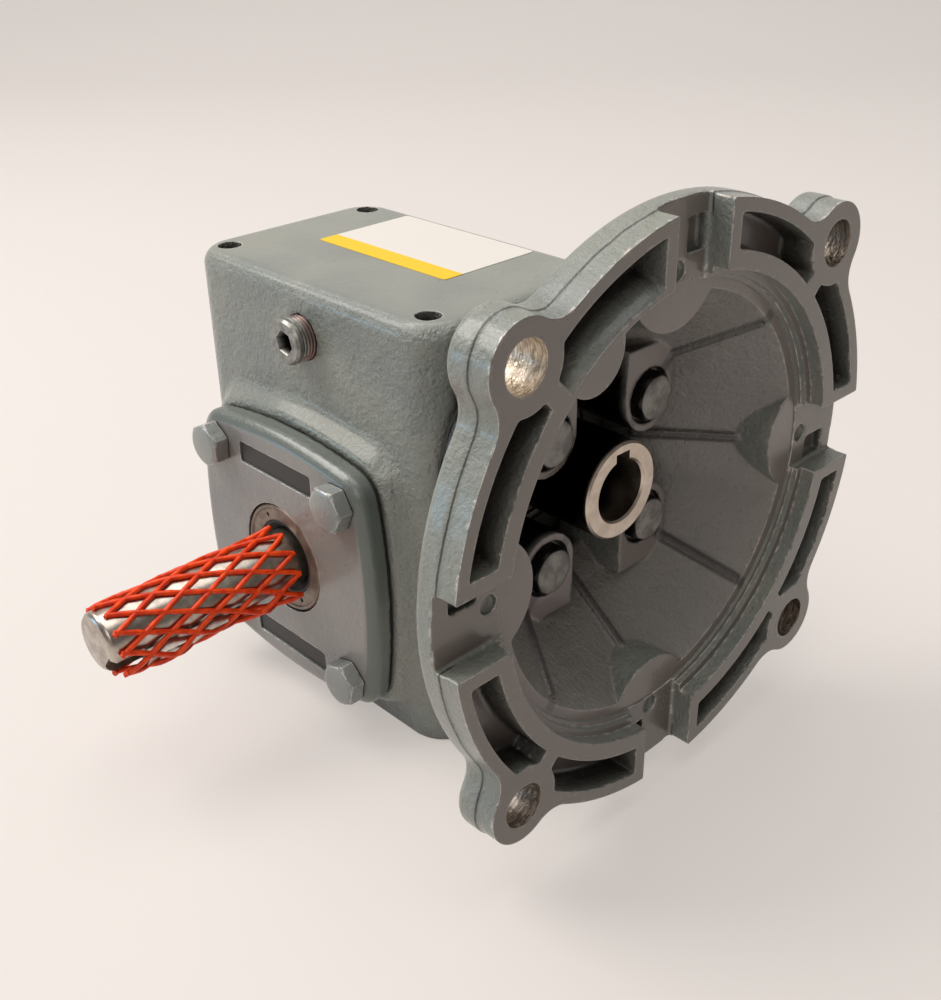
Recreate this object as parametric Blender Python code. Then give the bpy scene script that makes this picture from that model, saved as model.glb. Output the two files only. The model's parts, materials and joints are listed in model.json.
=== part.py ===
"""Right-angle worm gear reducer with a hollow input shaft and a round motor flange.

The origin is the middle of the base face, under the crossing of the two shaft axes. +Z is up, the
output shaft points along -X and the motor flange faces -Y. Lengths are in metres.
"""

import math

import bmesh
import bpy
from mathutils import Vector

MM = 0.001
INCH = 0.0254
GAP = 0.3 * MM  # clearance between two touching pieces
OVERSHOOT = 1.0 * MM  # how far a cutter runs past the face that it cuts
WIDE_SIDES = 40  # sides of a wide round surface, then of a bore, a narrow shaft and a small hole
BORE_SIDES = 24
SHAFT_SIDES = 20
HOLE_SIDES = 12
SMALL_SIDES = 8

# Housing
HOUSING_HALF_X = 32.5 * MM
HOUSING_CORNER = 11.0 * MM
HOUSING_TOP_ROUND = 4.5 * MM
HOUSING_BASE_ROUND = 1.2 * MM
SIDE_WALL = 6.5 * MM
END_WALL = 19.0 * MM
CAVITY_CORNER = 6.0 * MM
FLOOR_THICKNESS = 8.0 * MM
ROOF_THICKNESS = 8.0 * MM
MOUNT_HOLE_RADIUS = 3.3 * MM
MOUNT_HOLE_DEPTH = 14.0 * MM
MOUNT_HOLE_FROM_SIDE = 8.0 * MM
MOUNT_HOLE_FROM_END = 9.0 * MM

# Axes and gearing
INPUT_AXIS_BELOW_TOP = 40.6 * MM
CENTRE_DISTANCE = 33.8 * MM
WHEEL_TEETH = 30
WORM_PITCH_RADIUS = 8.8 * MM
WHEEL_ROOM = 5.5 * MM  # from the wheel's pitch circle to the end walls
PRESSURE_ANGLE = math.radians(20.0)
FLANK_CLEARANCE = 0.16 * MM
TIP_CLEARANCE_SHARE = 0.25
WORM_LENGTH = 37.0 * MM
WHEEL_HALF_FACE = 6.0 * MM
WHEEL_HALF_HUB = 9.0 * MM
WHEEL_HUB_RADIUS = 16.0 * MM

# Fasteners
BOLT_RADIUS = 3.1 * MM
BOLT_HEAD_FLATS = 11.1 * MM
BOLT_HEAD_HEIGHT = 4.0 * MM
BOLT_CHAMFER = 0.7 * MM

# Side pads and covers
PAD_RISE = 4.5 * MM
PAD_MARGIN = 2.5 * MM
COVER_HALF = 37.4 * MM
COVER_ABOVE_BASE = 8.2 * MM
COVER_CORNER = 8.5 * MM
COVER_BOLT_MARGIN = 10.9 * MM
COVER_THICKNESS = 6.2 * MM
COVER_GASKET_THICKNESS = 0.5 * MM
COVER_BORE_RADIUS = 30.0 * MM
COVER_SPIGOT_REACH = 14.1 * MM
COVER_BOLT_LENGTH = 15.5 * MM
NAMEPLATE_WIDTH = 31.0 * MM
NAMEPLATE_HEIGHT = 6.2 * MM
NAMEPLATE_DEPTH = 0.5 * MM
NAMEPLATE_FROM_BOLTS = 0.7 * MM

# Output shaft
OUTPUT_SHAFT_RADIUS = 5 / 16 * INCH
SHAFT_REACH = 56.5 * MM  # out of the cover
JOURNAL_STEP = 0.5625 * MM
WHEEL_SEAT_STEP = 1.5 * MM
SPACER_WALL = 2.0 * MM
OUTPUT_JOURNAL_RADIUS = OUTPUT_SHAFT_RADIUS + JOURNAL_STEP
WHEEL_SEAT_RADIUS = OUTPUT_JOURNAL_RADIUS + WHEEL_SEAT_STEP
SPACER_RADIUS = WHEEL_SEAT_RADIUS + SPACER_WALL
KEY_WIDTH = 3 / 16 * INCH
OUTPUT_KEY_LENGTH = 24.0 * MM
OUTPUT_KEYWAY_LENGTH = 37.0 * MM
OUTPUT_KEY_START = 9.0 * MM
OUTPUT_KEYWAY_TURN = math.radians(-53)  # from straight down towards the flange's side
GEAR_KEY_LENGTH = 16.0 * MM
OUTPUT_SEAL_RADIUS = 16.0 * MM
OUTPUT_SEAL_WIDTH = 7.0 * MM
SLEEVE_WALL = 1.3 * MM
SLEEVE_FROM_COVER = 2.2 * MM
SLEEVE_FROM_SHAFT_END = 1.5 * MM

# Worm shaft, whose front end is the hollow socket for the motor shaft
QUILL_FACE_DEPTH = 18.7 * MM
QUILL_RADIUS = 12.5 * MM
QUILL_BORE_RADIUS = 5 / 16 * INCH
QUILL_BORE_DEPTH = 42.0 * MM
QUILL_KEYWAY_TOP = 10.2 * MM
REAR_JOURNAL_RADIUS = 7.5 * MM
WORM_BODY_RADIUS = 8.0 * MM
WORM_COLLAR_RADIUS = 13.8 * MM
INPUT_SEAL_WIDTH = 6.0 * MM
SNAP_RING_WIDTH = 1.2 * MM
SNAP_RING_BITE = 1.1 * MM

# Bearings: bore radius, outer radius, width, ball radius
FRONT_BEARING = (QUILL_RADIUS, 18.5 * MM, 7.0 * MM, 1.75 * MM)
REAR_BEARING = (REAR_JOURNAL_RADIUS, 17.5 * MM, 11.0 * MM, 3.0 * MM)
OUTPUT_BEARING = (OUTPUT_JOURNAL_RADIUS, 20.0 * MM, 12.0 * MM, 3.4 * MM)
BALL_COUNT = 7
BALL_SIDES = 6
BALL_PLAY = 0.5 * MM

# Motor flange
FLANGE_FACE_Y = -99.0 * MM
FLANGE_THICKNESS = 11.5 * MM
PILOT_RADIUS = 2.25 * INCH
PILOT_DEPTH = 3.5 * MM
RIM_WIDTH = 4.3 * MM
POCKET_WIDTH = 8.05 * MM
OUTER_WALL = 3.5 * MM
POCKET_DEPTH = 9.0 * MM
EAR_REACH = 1.6125 * MM  # from the round plate's edge out to the circle of the ears' holes
EAR_RADIUS = 10.2 * MM
EAR_HOLE_RADIUS = 13 / 64 * INCH
EAR_NECK_RADIUS = 8.0 * MM
NOTCH_WIDTH = 18.4 * MM
NOTCH_DEPTH = 6.2 * MM
NOTCH_SIDE_WALL = 3.3 * MM
CONE_WALL = 4.6 * MM
CONE_MOUTH_STEP = 4.15 * MM
CONE_MOUTH_DEPTH = 5.0 * MM
CONE_THROAT_RADIUS = 27.0 * MM
CONE_THROAT_DEPTH = 39.0 * MM
BELL_GASKET_THICKNESS = 0.8 * MM
BELL_GASKET_HOLE = 20.0 * MM
BELL_BOLT_X = 18.0 * MM
BELL_BOLT_Z = 17.0 * MM
BELL_BOSS_RADIUS = 10.0 * MM
BELL_BOSS_DEPTH = 22.8 * MM
BELL_BOLT_POCKET_RADIUS = 7.6 * MM
BELL_BOLT_THREAD = 12.0 * MM
RIB_RADIUS = 1.2 * MM
RIM_BOSS_RADIUS = 8.6 * MM
RIM_BOSS_OUT = 2.35 * MM
RIM_SCALLOP_RADIUS = 13.0 * MM
RIM_SCALLOP_DEPTH = 13.5 * MM
RIM_DIMPLE_RADIUS = 2.3 * MM
RIM_DIMPLE_IN = 0.15 * MM

# Pipe plugs in the side walls
PLUG_Y = -1.0 * MM
PLUG_BELOW_TOP = 13.6 * MM
PLUG_RADIUS = 6.7 * MM
PLUG_TIP_RADIUS = 6.2 * MM
PLUG_PROTRUSION = 6.5 * MM
PLUG_SOCKET_FLATS = 6.4 * MM
PLUG_SOCKET_DEPTH = 5.0 * MM

WHEEL_PITCH_RADIUS = CENTRE_DISTANCE - WORM_PITCH_RADIUS
CAVITY_HALF_X = HOUSING_HALF_X - SIDE_WALL
CAVITY_HALF_Y = WHEEL_PITCH_RADIUS + WHEEL_ROOM
HOUSING_HALF_Y = CAVITY_HALF_Y + END_WALL
MOUNT_HOLE_X = HOUSING_HALF_X - MOUNT_HOLE_FROM_SIDE
MOUNT_HOLE_Y = HOUSING_HALF_Y - MOUNT_HOLE_FROM_END
PAD_FACE_X = HOUSING_HALF_X + PAD_RISE
COVER_BOLT_OFFSET = COVER_HALF - COVER_BOLT_MARGIN
NAMEPLATE_OFFSET = COVER_BOLT_OFFSET + NAMEPLATE_FROM_BOLTS
OUTPUT_AXIS_HEIGHT = COVER_HALF + COVER_ABOVE_BASE
INPUT_AXIS_HEIGHT = OUTPUT_AXIS_HEIGHT + CENTRE_DISTANCE
HOUSING_HEIGHT = INPUT_AXIS_HEIGHT + INPUT_AXIS_BELOW_TOP
PLUG_HEIGHT = HOUSING_HEIGHT - PLUG_BELOW_TOP
MODULE = 2 * WHEEL_PITCH_RADIUS / WHEEL_TEETH
WORM_LEAD = math.pi * MODULE
DEDENDUM = MODULE * (1 + TIP_CLEARANCE_SHARE)
QUILL_FACE_Y = FLANGE_FACE_Y + QUILL_FACE_DEPTH
INPUT_SEAL_Y = -HOUSING_HALF_Y + GAP
SNAP_RING_Y = INPUT_SEAL_Y + INPUT_SEAL_WIDTH + GAP
FRONT_BEARING_Y = SNAP_RING_Y + SNAP_RING_WIDTH + GAP
REAR_BEARING_Y = CAVITY_HALF_Y + GAP
COVER_INNER_X = PAD_FACE_X + COVER_GASKET_THICKNESS + 2 * GAP
COVER_OUTER_X = COVER_INNER_X + COVER_THICKNESS
OUTPUT_SHAFT_END_X = -COVER_OUTER_X - SHAFT_REACH
SLEEVE_START_X = -COVER_OUTER_X - SLEEVE_FROM_COVER
SLEEVE_END_X = OUTPUT_SHAFT_END_X + SLEEVE_FROM_SHAFT_END
OUTPUT_BEARING_X = COVER_INNER_X - COVER_SPIGOT_REACH + GAP
FLANGE_RADIUS = PILOT_RADIUS + RIM_WIDTH + POCKET_WIDTH + OUTER_WALL
EAR_OFFSET = (FLANGE_RADIUS + EAR_REACH) * math.sqrt(0.5)
CONE_MOUTH_RADIUS = PILOT_RADIUS - CONE_MOUTH_STEP
RIM_BOSS_CENTRE = PILOT_RADIUS + RIM_BOSS_OUT
RIM_DIMPLE_CENTRE = PILOT_RADIUS - RIM_DIMPLE_IN
BELL_DEPTH = -HOUSING_HALF_Y - BELL_GASKET_THICKNESS - 2 * GAP - FLANGE_FACE_Y

# Placings: each turns a piece's local +Z, its own axis, to a direction of the assembly
ALONG_Y = (-math.pi / 2, 0, 0)
TO_LEFT = (0, -math.pi / 2, 0)
TO_RIGHT = (0, math.pi / 2, 0)
UPRIGHT = (0, 0, 0)
OUTPUT_CENTRE = (0, 0, OUTPUT_AXIS_HEIGHT)
INPUT_CENTRE = (0, 0, INPUT_AXIS_HEIGHT)
FLANGE_CENTRE = (0, FLANGE_FACE_Y, INPUT_AXIS_HEIGHT)


def new_material(name, colour, roughness, metallic):
    """A Principled material; the colour is linear red, green and blue."""
    material = bpy.data.materials.new(name)
    material.use_nodes = True
    shader = material.node_tree.nodes["Principled BSDF"]
    shader.inputs["Base Color"].default_value = (*colour, 1)
    shader.inputs["Roughness"].default_value = roughness
    shader.inputs["Metallic"].default_value = metallic
    return material


def new_object(name, bm, material, place=UPRIGHT, centre=(0, 0, 0)):
    """Turns a finished bmesh into an object with its faces pointing out."""
    bmesh.ops.recalc_face_normals(bm, faces=bm.faces)
    mesh = bpy.data.meshes.new(name)
    bm.to_mesh(mesh)
    bm.free()
    mesh.materials.append(material)
    mesh.shade_smooth()
    mesh.set_sharp_from_angle(angle=math.radians(30))
    obj = bpy.data.objects.new(name, mesh)
    obj.location = centre
    obj.rotation_euler = place
    bpy.context.scene.collection.objects.link(obj)
    return obj


def helper(name, bm, place=UPRIGHT, centre=(0, 0, 0)):
    """An object that only shapes another one, so it is left out of the model."""
    obj = new_object(name, bm, HELPER_MATERIAL, place, centre)
    obj.hide_render = True
    obj.display_type = "WIRE"
    return obj


def boolean(target, tool, operation):
    modifier = target.modifiers.new(tool.name, "BOOLEAN")
    modifier.operation = operation
    modifier.object = tool
    modifier.solver = "EXACT"


def add_loft(bm, rings):
    """Joins equally long closed rings of points with faces and closes both ends."""
    loops = [[bm.verts.new(point) for point in ring] for ring in rings]
    count = len(loops[0])
    for lower, upper in zip(loops, loops[1:]):
        for i in range(count):
            bm.faces.new((lower[i], lower[(i + 1) % count], upper[(i + 1) % count], upper[i]))
    bm.faces.new(loops[0])
    bm.faces.new(loops[-1])


def add_prism(bm, outline, start, end):
    add_loft(bm, [[(x, y, z) for x, y in outline] for z in (start, end)])


def add_turned(bm, profile, segments, centre=(0, 0)):
    """A solid of revolution about Z. The profile is a closed outline of (radius, height) points."""
    rings = []
    for radius, height in profile:
        if radius < 1e-7:
            rings.append([bm.verts.new((*centre, height))] * segments)
            continue
        rings.append([
            bm.verts.new((
                centre[0] + radius * math.cos(2 * math.pi * i / segments),
                centre[1] + radius * math.sin(2 * math.pi * i / segments),
                height,
            ))
            for i in range(segments)
        ])
    for ring, following in zip(rings, rings[1:] + rings[:1]):
        for i in range(segments):
            j = (i + 1) % segments
            corners = list(dict.fromkeys((ring[i], ring[j], following[j], following[i])))
            if len(corners) > 2:
                bm.faces.new(corners)


def add_cylinder(bm, radius, start, end, segments, centre=(0, 0)):
    profile = [(0, start), (radius, start), (radius, end), (0, end)]
    add_turned(bm, profile, segments, centre)


def turned(name, profile, segments, material, place, centre):
    bm = bmesh.new()
    add_turned(bm, profile, segments)
    return new_object(name, bm, material, place, centre)


def arc(centre, radius, start, end, steps):
    """Points on an arc from one angle to another, both ends included."""
    return [
        (
            centre[0] + radius * math.cos(start + (end - start) * i / steps),
            centre[1] + radius * math.sin(start + (end - start) * i / steps),
        )
        for i in range(steps + 1)
    ]


def turn(points, angle):
    c = math.cos(angle)
    s = math.sin(angle)
    return [(c * x - s * y, s * x + c * y) for x, y in points]


def rectangle(half_x, half_y):
    return [(-half_x, -half_y), (half_x, -half_y), (half_x, half_y), (-half_x, half_y)]


def rounded_rectangle(half_x, half_y, corner, steps=4):
    points = []
    for turns, (sx, sy) in enumerate(((1, 1), (-1, 1), (-1, -1), (1, -1))):
        centre = (sx * (half_x - corner), sy * (half_y - corner))
        start = turns * math.pi / 2
        points += arc(centre, corner, start, start + math.pi / 2, steps)
    return points


def bowed_square(offset=0.0, side_steps=3, corner_steps=3):
    """The covers' outline: four slightly bowed sides and corners rounded about the bolts."""
    corner = COVER_CORNER + offset
    half = COVER_HALF + offset
    k = COVER_BOLT_OFFSET
    bow_radius = (corner**2 - k**2 - (k - half) ** 2) / (2 * (k - half + corner))
    lean = math.atan2(k, k - half + bow_radius)
    quarter = arc((half - bow_radius, 0), bow_radius, -lean, lean, side_steps)
    quarter += arc((k, k), corner, lean, math.pi / 2 - lean, corner_steps)[1:-1]
    return [point for i in range(4) for point in turn(quarter, i * math.pi / 2)]


def hexagon(flats):
    corner = flats / math.sqrt(3)
    return [turn([(corner, 0)], i * math.pi / 3)[0] for i in range(6)]


def at_height(points, height):
    return [(x, y, height) for x, y in points]


def four_corners(x, y):
    return [(sx * x, sy * y) for sx in (-1, 1) for sy in (-1, 1)]


def hex_bolt(name, seat, end, place, centre, shift):
    """A hexagon-head bolt. Its head sits at local height seat and its thread runs down to end."""
    bm = bmesh.new()
    head = hexagon(BOLT_HEAD_FLATS)
    top = seat + BOLT_HEAD_HEIGHT
    neck = 0.94 * BOLT_HEAD_FLATS / 2
    round_top = [turn([(neck, 0)], i * math.pi / 3)[0] for i in range(6)]
    add_loft(bm, [at_height(head, seat), at_height(head, top - BOLT_CHAMFER), at_height(round_top, top)])
    head_object = new_object(name, bm, STEEL, place, centre)
    bm = bmesh.new()
    profile = [
        (0, end),
        (BOLT_RADIUS - BOLT_CHAMFER, end),
        (BOLT_RADIUS, end + BOLT_CHAMFER),
        (BOLT_RADIUS, seat + BOLT_HEAD_HEIGHT / 2),
        (0, seat + BOLT_HEAD_HEIGHT / 2),
    ]
    add_turned(bm, profile, SMALL_SIDES)
    shank = helper(name + "_shank", bm, place, centre)
    for obj in (head_object, shank):
        for vertex in obj.data.vertices:
            vertex.co.x += shift[0]
            vertex.co.y += shift[1]
    boolean(head_object, shank, "UNION")
    return head_object


def make_housing():
    """The cast gearcase: a rounded block with a pad for each cover, bored along both axes."""
    bm = bmesh.new()
    rings = []
    edge_steps = 2
    for i in range(edge_steps + 1):
        angle = math.pi / 2 * i / edge_steps
        rings.append((HOUSING_BASE_ROUND * (1 - math.sin(angle)), HOUSING_BASE_ROUND * (1 - math.cos(angle))))
    for i in range(edge_steps + 1):
        angle = math.pi / 2 * i / edge_steps
        inset = HOUSING_TOP_ROUND * (1 - math.cos(angle))
        rings.append((inset, HOUSING_HEIGHT - HOUSING_TOP_ROUND * (1 - math.sin(angle))))
    add_loft(bm, [
        at_height(
            rounded_rectangle(HOUSING_HALF_X - inset, HOUSING_HALF_Y - inset, HOUSING_CORNER - inset),
            height,
        )
        for inset, height in rings
    ])
    housing = new_object("housing", bm, PAINT)

    for side, place in (("left", TO_LEFT), ("right", TO_RIGHT)):
        bm = bmesh.new()
        levels = [(5.0, -3.0), (5.0, 0.2), (3.2, 1.2)]
        rings = [at_height(bowed_square(out * MM), HOUSING_HALF_X + up * MM) for out, up in levels]
        rings.append(at_height(bowed_square(PAD_MARGIN - 0.4 * MM), PAD_FACE_X - 0.9 * MM))
        rings.append(at_height(bowed_square(PAD_MARGIN - 1.4 * MM), PAD_FACE_X))
        add_loft(bm, rings)
        boolean(housing, helper("pad_" + side, bm, place, OUTPUT_CENTRE), "UNION")

    bm = bmesh.new()
    outline = rounded_rectangle(CAVITY_HALF_X, CAVITY_HALF_Y, CAVITY_CORNER, 3)
    add_prism(bm, outline, FLOOR_THICKNESS, HOUSING_HEIGHT - ROOF_THICKNESS)
    boolean(housing, helper("cavity", bm), "DIFFERENCE")

    bm = bmesh.new()
    add_cylinder(bm, COVER_BORE_RADIUS, -PAD_FACE_X - OVERSHOOT, PAD_FACE_X + OVERSHOOT, WIDE_SIDES)
    boolean(housing, helper("side_bore", bm, TO_LEFT, OUTPUT_CENTRE), "DIFFERENCE")

    bore = FRONT_BEARING[1]
    shoulder = FRONT_BEARING_Y + FRONT_BEARING[2] + GAP
    groove = bore + SNAP_RING_BITE
    bm = bmesh.new()
    add_turned(bm, [
        (0, -HOUSING_HALF_Y - OVERSHOOT),
        (bore, -HOUSING_HALF_Y - OVERSHOOT),
        (bore, SNAP_RING_Y - GAP / 2),
        (groove, SNAP_RING_Y - GAP / 2),
        (groove, SNAP_RING_Y + SNAP_RING_WIDTH + GAP / 2),
        (bore, SNAP_RING_Y + SNAP_RING_WIDTH + GAP / 2),
        (bore, shoulder),
        (bore - 2.5 * MM, shoulder),
        (bore - 2.5 * MM, -CAVITY_HALF_Y + OVERSHOOT),
        (0, -CAVITY_HALF_Y + OVERSHOOT),
    ], BORE_SIDES)
    boolean(housing, helper("worm_bore", bm, ALONG_Y, INPUT_CENTRE), "DIFFERENCE")

    rear_end = REAR_BEARING_Y + REAR_BEARING[2] + GAP
    bm = bmesh.new()
    add_turned(bm, [
        (0, CAVITY_HALF_Y - OVERSHOOT),
        (REAR_BEARING[1], CAVITY_HALF_Y - OVERSHOOT),
        (REAR_BEARING[1], rear_end),
        (REAR_BEARING[1] - 4 * MM, rear_end),
        (REAR_BEARING[1] - 4 * MM, rear_end + 3 * MM),
        (0, rear_end + 3 * MM),
    ], BORE_SIDES)
    boolean(housing, helper("rear_pocket", bm, ALONG_Y, INPUT_CENTRE), "DIFFERENCE")

    bm = bmesh.new()
    for spot in four_corners(MOUNT_HOLE_X, MOUNT_HOLE_Y):
        add_cylinder(bm, MOUNT_HOLE_RADIUS, -OVERSHOOT, MOUNT_HOLE_DEPTH, HOLE_SIDES, spot)
        top = HOUSING_HEIGHT
        add_cylinder(bm, MOUNT_HOLE_RADIUS, top - MOUNT_HOLE_DEPTH, top + OVERSHOOT, HOLE_SIDES, spot)
    boolean(housing, helper("mount_holes", bm), "DIFFERENCE")

    bm = bmesh.new()
    hole_end = COVER_OUTER_X - COVER_BOLT_LENGTH - GAP
    for spot in four_corners(COVER_BOLT_OFFSET, COVER_BOLT_OFFSET):
        add_cylinder(bm, BOLT_RADIUS + GAP, hole_end, PAD_FACE_X + OVERSHOOT, SMALL_SIDES, spot)
        add_cylinder(bm, BOLT_RADIUS + GAP, -PAD_FACE_X - OVERSHOOT, -hole_end, SMALL_SIDES, spot)
    boolean(housing, helper("cover_bolt_holes", bm, TO_LEFT, OUTPUT_CENTRE), "DIFFERENCE")

    bm = bmesh.new()
    thread_end = -HOUSING_HALF_Y + BELL_BOLT_THREAD + GAP
    for spot in four_corners(BELL_BOLT_X, BELL_BOLT_Z):
        add_cylinder(bm, BOLT_RADIUS + GAP, -HOUSING_HALF_Y - OVERSHOOT, thread_end, SMALL_SIDES, spot)
    boolean(housing, helper("bell_bolt_holes", bm, ALONG_Y, INPUT_CENTRE), "DIFFERENCE")

    bm = bmesh.new()
    add_cylinder(bm, PLUG_RADIUS + GAP, CAVITY_HALF_X - OVERSHOOT, HOUSING_HALF_X + OVERSHOOT, HOLE_SIDES)
    add_cylinder(bm, PLUG_RADIUS + GAP, -HOUSING_HALF_X - OVERSHOOT, -CAVITY_HALF_X + OVERSHOOT, HOLE_SIDES)
    boolean(housing, helper("plug_holes", bm, TO_LEFT, (0, PLUG_Y, PLUG_HEIGHT)), "DIFFERENCE")
    return housing


def flange_outline(offset=0.0):
    """The flange seen from the motor: a round plate with four ears on concave necks."""
    plate = FLANGE_RADIUS + offset
    ear = EAR_RADIUS + offset
    neck = EAR_NECK_RADIUS - offset
    ear_distance = EAR_OFFSET * math.sqrt(2)
    to_neck = plate + neck
    to_ear = ear + neck
    neck_angle = math.acos((ear_distance**2 + to_neck**2 - to_ear**2) / (2 * ear_distance * to_neck))
    ear_angle = math.acos((ear_distance**2 + to_ear**2 - to_neck**2) / (2 * ear_distance * to_ear))
    neck_x = to_neck * math.cos(neck_angle)
    neck_y = to_neck * math.sin(neck_angle)
    lower = arc((neck_x, -neck_y), neck, math.pi - neck_angle, ear_angle, 3)
    upper = [(x, -y) for x, y in reversed(lower)]
    quarter = arc((0, 0), plate, neck_angle - math.pi / 2, -neck_angle, 7)
    quarter += lower[1:]
    quarter += arc((ear_distance, 0), ear, ear_angle - math.pi, math.pi - ear_angle, 8)[1:]
    quarter += upper[1:-1]
    return [point for i in range(4) for point in turn(quarter, math.pi / 4 + i * math.pi / 2)]


def sector(inner, outer, side_start, side_end, steps):
    """A ring sector whose two straight sides run parallel to the notch at 0 and the ear at 45 degrees."""
    diagonal = math.pi / 4
    points = arc((0, 0), inner, math.asin(side_start / inner), diagonal - math.asin(side_end / inner), steps)
    far = arc((0, 0), outer, math.asin(side_start / outer), diagonal - math.asin(side_end / outer), steps)
    return points + far[::-1]


def lens(big, centre, small, steps):
    """The part of a small circle on the X axis that lies inside a big circle at the origin."""
    cut = (big**2 + centre**2 - small**2) / (2 * centre)
    half_height = math.sqrt(big**2 - cut**2)
    start = math.atan2(half_height, cut - centre)
    points = arc((centre, 0), small, start, 2 * math.pi - start, steps)
    edge = math.atan2(half_height, cut)
    return points + arc((0, 0), big, -edge, edge, steps)[1:-1]


def make_bell():
    """The motor flange: a cored rim on a cone, with bolt bosses inside. Local Z is depth from its face."""
    bm = bmesh.new()
    add_loft(bm, [
        at_height(flange_outline(-0.7 * MM), 0),
        at_height(flange_outline(), 0.7 * MM),
        at_height(flange_outline(), FLANGE_THICKNESS - 1.2 * MM),
        at_height(flange_outline(-1.2 * MM), FLANGE_THICKNESS),
    ])
    bell = new_object("bell_flange", bm, PAINT, ALONG_Y, FLANGE_CENTRE)

    slope = (CONE_MOUTH_RADIUS - CONE_THROAT_RADIUS) / (CONE_THROAT_DEPTH - CONE_MOUTH_DEPTH)
    skin = CONE_WALL * math.sqrt(1 + slope**2)
    outer_start = FLANGE_THICKNESS - 2 * MM
    outer_radius = CONE_MOUTH_RADIUS + skin - slope * (outer_start - CONE_MOUTH_DEPTH)
    back_radius = CONE_THROAT_RADIUS + 6 * MM
    back_start = CONE_MOUTH_DEPTH + (CONE_MOUTH_RADIUS + skin - back_radius) / slope
    bm = bmesh.new()
    add_turned(bm, [
        (0, outer_start),
        (outer_radius, outer_start),
        (back_radius, back_start),
        (back_radius, BELL_DEPTH - 0.8 * MM),
        (back_radius - 0.8 * MM, BELL_DEPTH),
        (0, BELL_DEPTH),
    ], WIDE_SIDES)
    boolean(bell, helper("bell_cone", bm, ALONG_Y, FLANGE_CENTRE), "UNION")

    bm = bmesh.new()
    for i in range(4):
        spot = turn([(RIM_BOSS_CENTRE - 2 * MM, 0)], i * math.pi / 2)[0]
        end = RIM_SCALLOP_DEPTH + 2.5 * MM
        add_cylinder(bm, RIM_SCALLOP_RADIUS + 1.5 * MM, FLANGE_THICKNESS - 2 * MM, end, BORE_SIDES // 2, spot)
    boolean(bell, helper("rim_boss_backs", bm, ALONG_Y, FLANGE_CENTRE), "UNION")

    bm = bmesh.new()
    step = 2.1 * MM
    add_turned(bm, [
        (0, -OVERSHOOT),
        (PILOT_RADIUS, -OVERSHOOT),
        (PILOT_RADIUS, PILOT_DEPTH),
        (PILOT_RADIUS - step, PILOT_DEPTH),
        (PILOT_RADIUS - step, CONE_MOUTH_DEPTH - 0.4 * MM),
        (CONE_MOUTH_RADIUS, CONE_MOUTH_DEPTH),
        (CONE_THROAT_RADIUS, CONE_THROAT_DEPTH),
        (CONE_THROAT_RADIUS, BELL_DEPTH + OVERSHOOT),
        (0, BELL_DEPTH + OVERSHOOT),
    ], WIDE_SIDES)
    boolean(bell, helper("bell_hollow", bm, ALONG_Y, FLANGE_CENTRE), "DIFFERENCE")

    bm = bmesh.new()
    scallop = lens(CONE_MOUTH_RADIUS + step / 2, RIM_BOSS_CENTRE, RIM_SCALLOP_RADIUS, 6)
    for i in range(4):
        add_prism(bm, turn(scallop, i * math.pi / 2), PILOT_DEPTH + 1 * MM, RIM_SCALLOP_DEPTH)
    boolean(bell, helper("rim_scallops", bm, ALONG_Y, FLANGE_CENTRE), "DIFFERENCE")

    bm = bmesh.new()
    boss_top = NOTCH_DEPTH + 0.5 * MM
    for i in range(4):
        spot = turn([(RIM_BOSS_CENTRE, 0)], i * math.pi / 2)[0]
        add_cylinder(bm, RIM_BOSS_RADIUS, boss_top, RIM_SCALLOP_DEPTH + 1 * MM, BORE_SIDES // 2, spot)
    boolean(bell, helper("rim_bosses", bm, ALONG_Y, FLANGE_CENTRE), "UNION")

    bm = bmesh.new()
    for spot in four_corners(BELL_BOLT_X, BELL_BOLT_Z):
        add_cylinder(bm, BELL_BOSS_RADIUS, BELL_BOSS_DEPTH, BELL_DEPTH - 1.5 * MM, BORE_SIDES // 2, spot)
    boolean(bell, helper("bell_bolt_bosses", bm, ALONG_Y, FLANGE_CENTRE), "UNION")

    bm = bmesh.new()
    rib_length = math.hypot(CONE_MOUTH_RADIUS - CONE_THROAT_RADIUS, CONE_THROAT_DEPTH - CONE_MOUTH_DEPTH)
    for i in range(8):
        angle = i * math.pi / 4
        outward = Vector((math.cos(angle), math.sin(angle), 0))
        across = Vector((-math.sin(angle), math.cos(angle), 0))
        inner = outward * CONE_THROAT_RADIUS + Vector((0, 0, CONE_THROAT_DEPTH))
        along = (outward * CONE_MOUTH_RADIUS + Vector((0, 0, CONE_MOUTH_DEPTH)) - inner) / rib_length
        normal = along.cross(across)
        start = inner + along * 0.5 * MM
        end = inner + along * rib_length * (0.68 if i % 2 == 0 else 0.92)
        section = arc((0, 0), RIB_RADIUS, math.pi / 6, math.pi * 11 / 6, 5)
        add_loft(bm, [[middle + across * x + normal * y for x, y in section] for middle in (start, end)])
    boolean(bell, helper("ribs", bm, ALONG_Y, FLANGE_CENTRE), "UNION")

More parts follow.
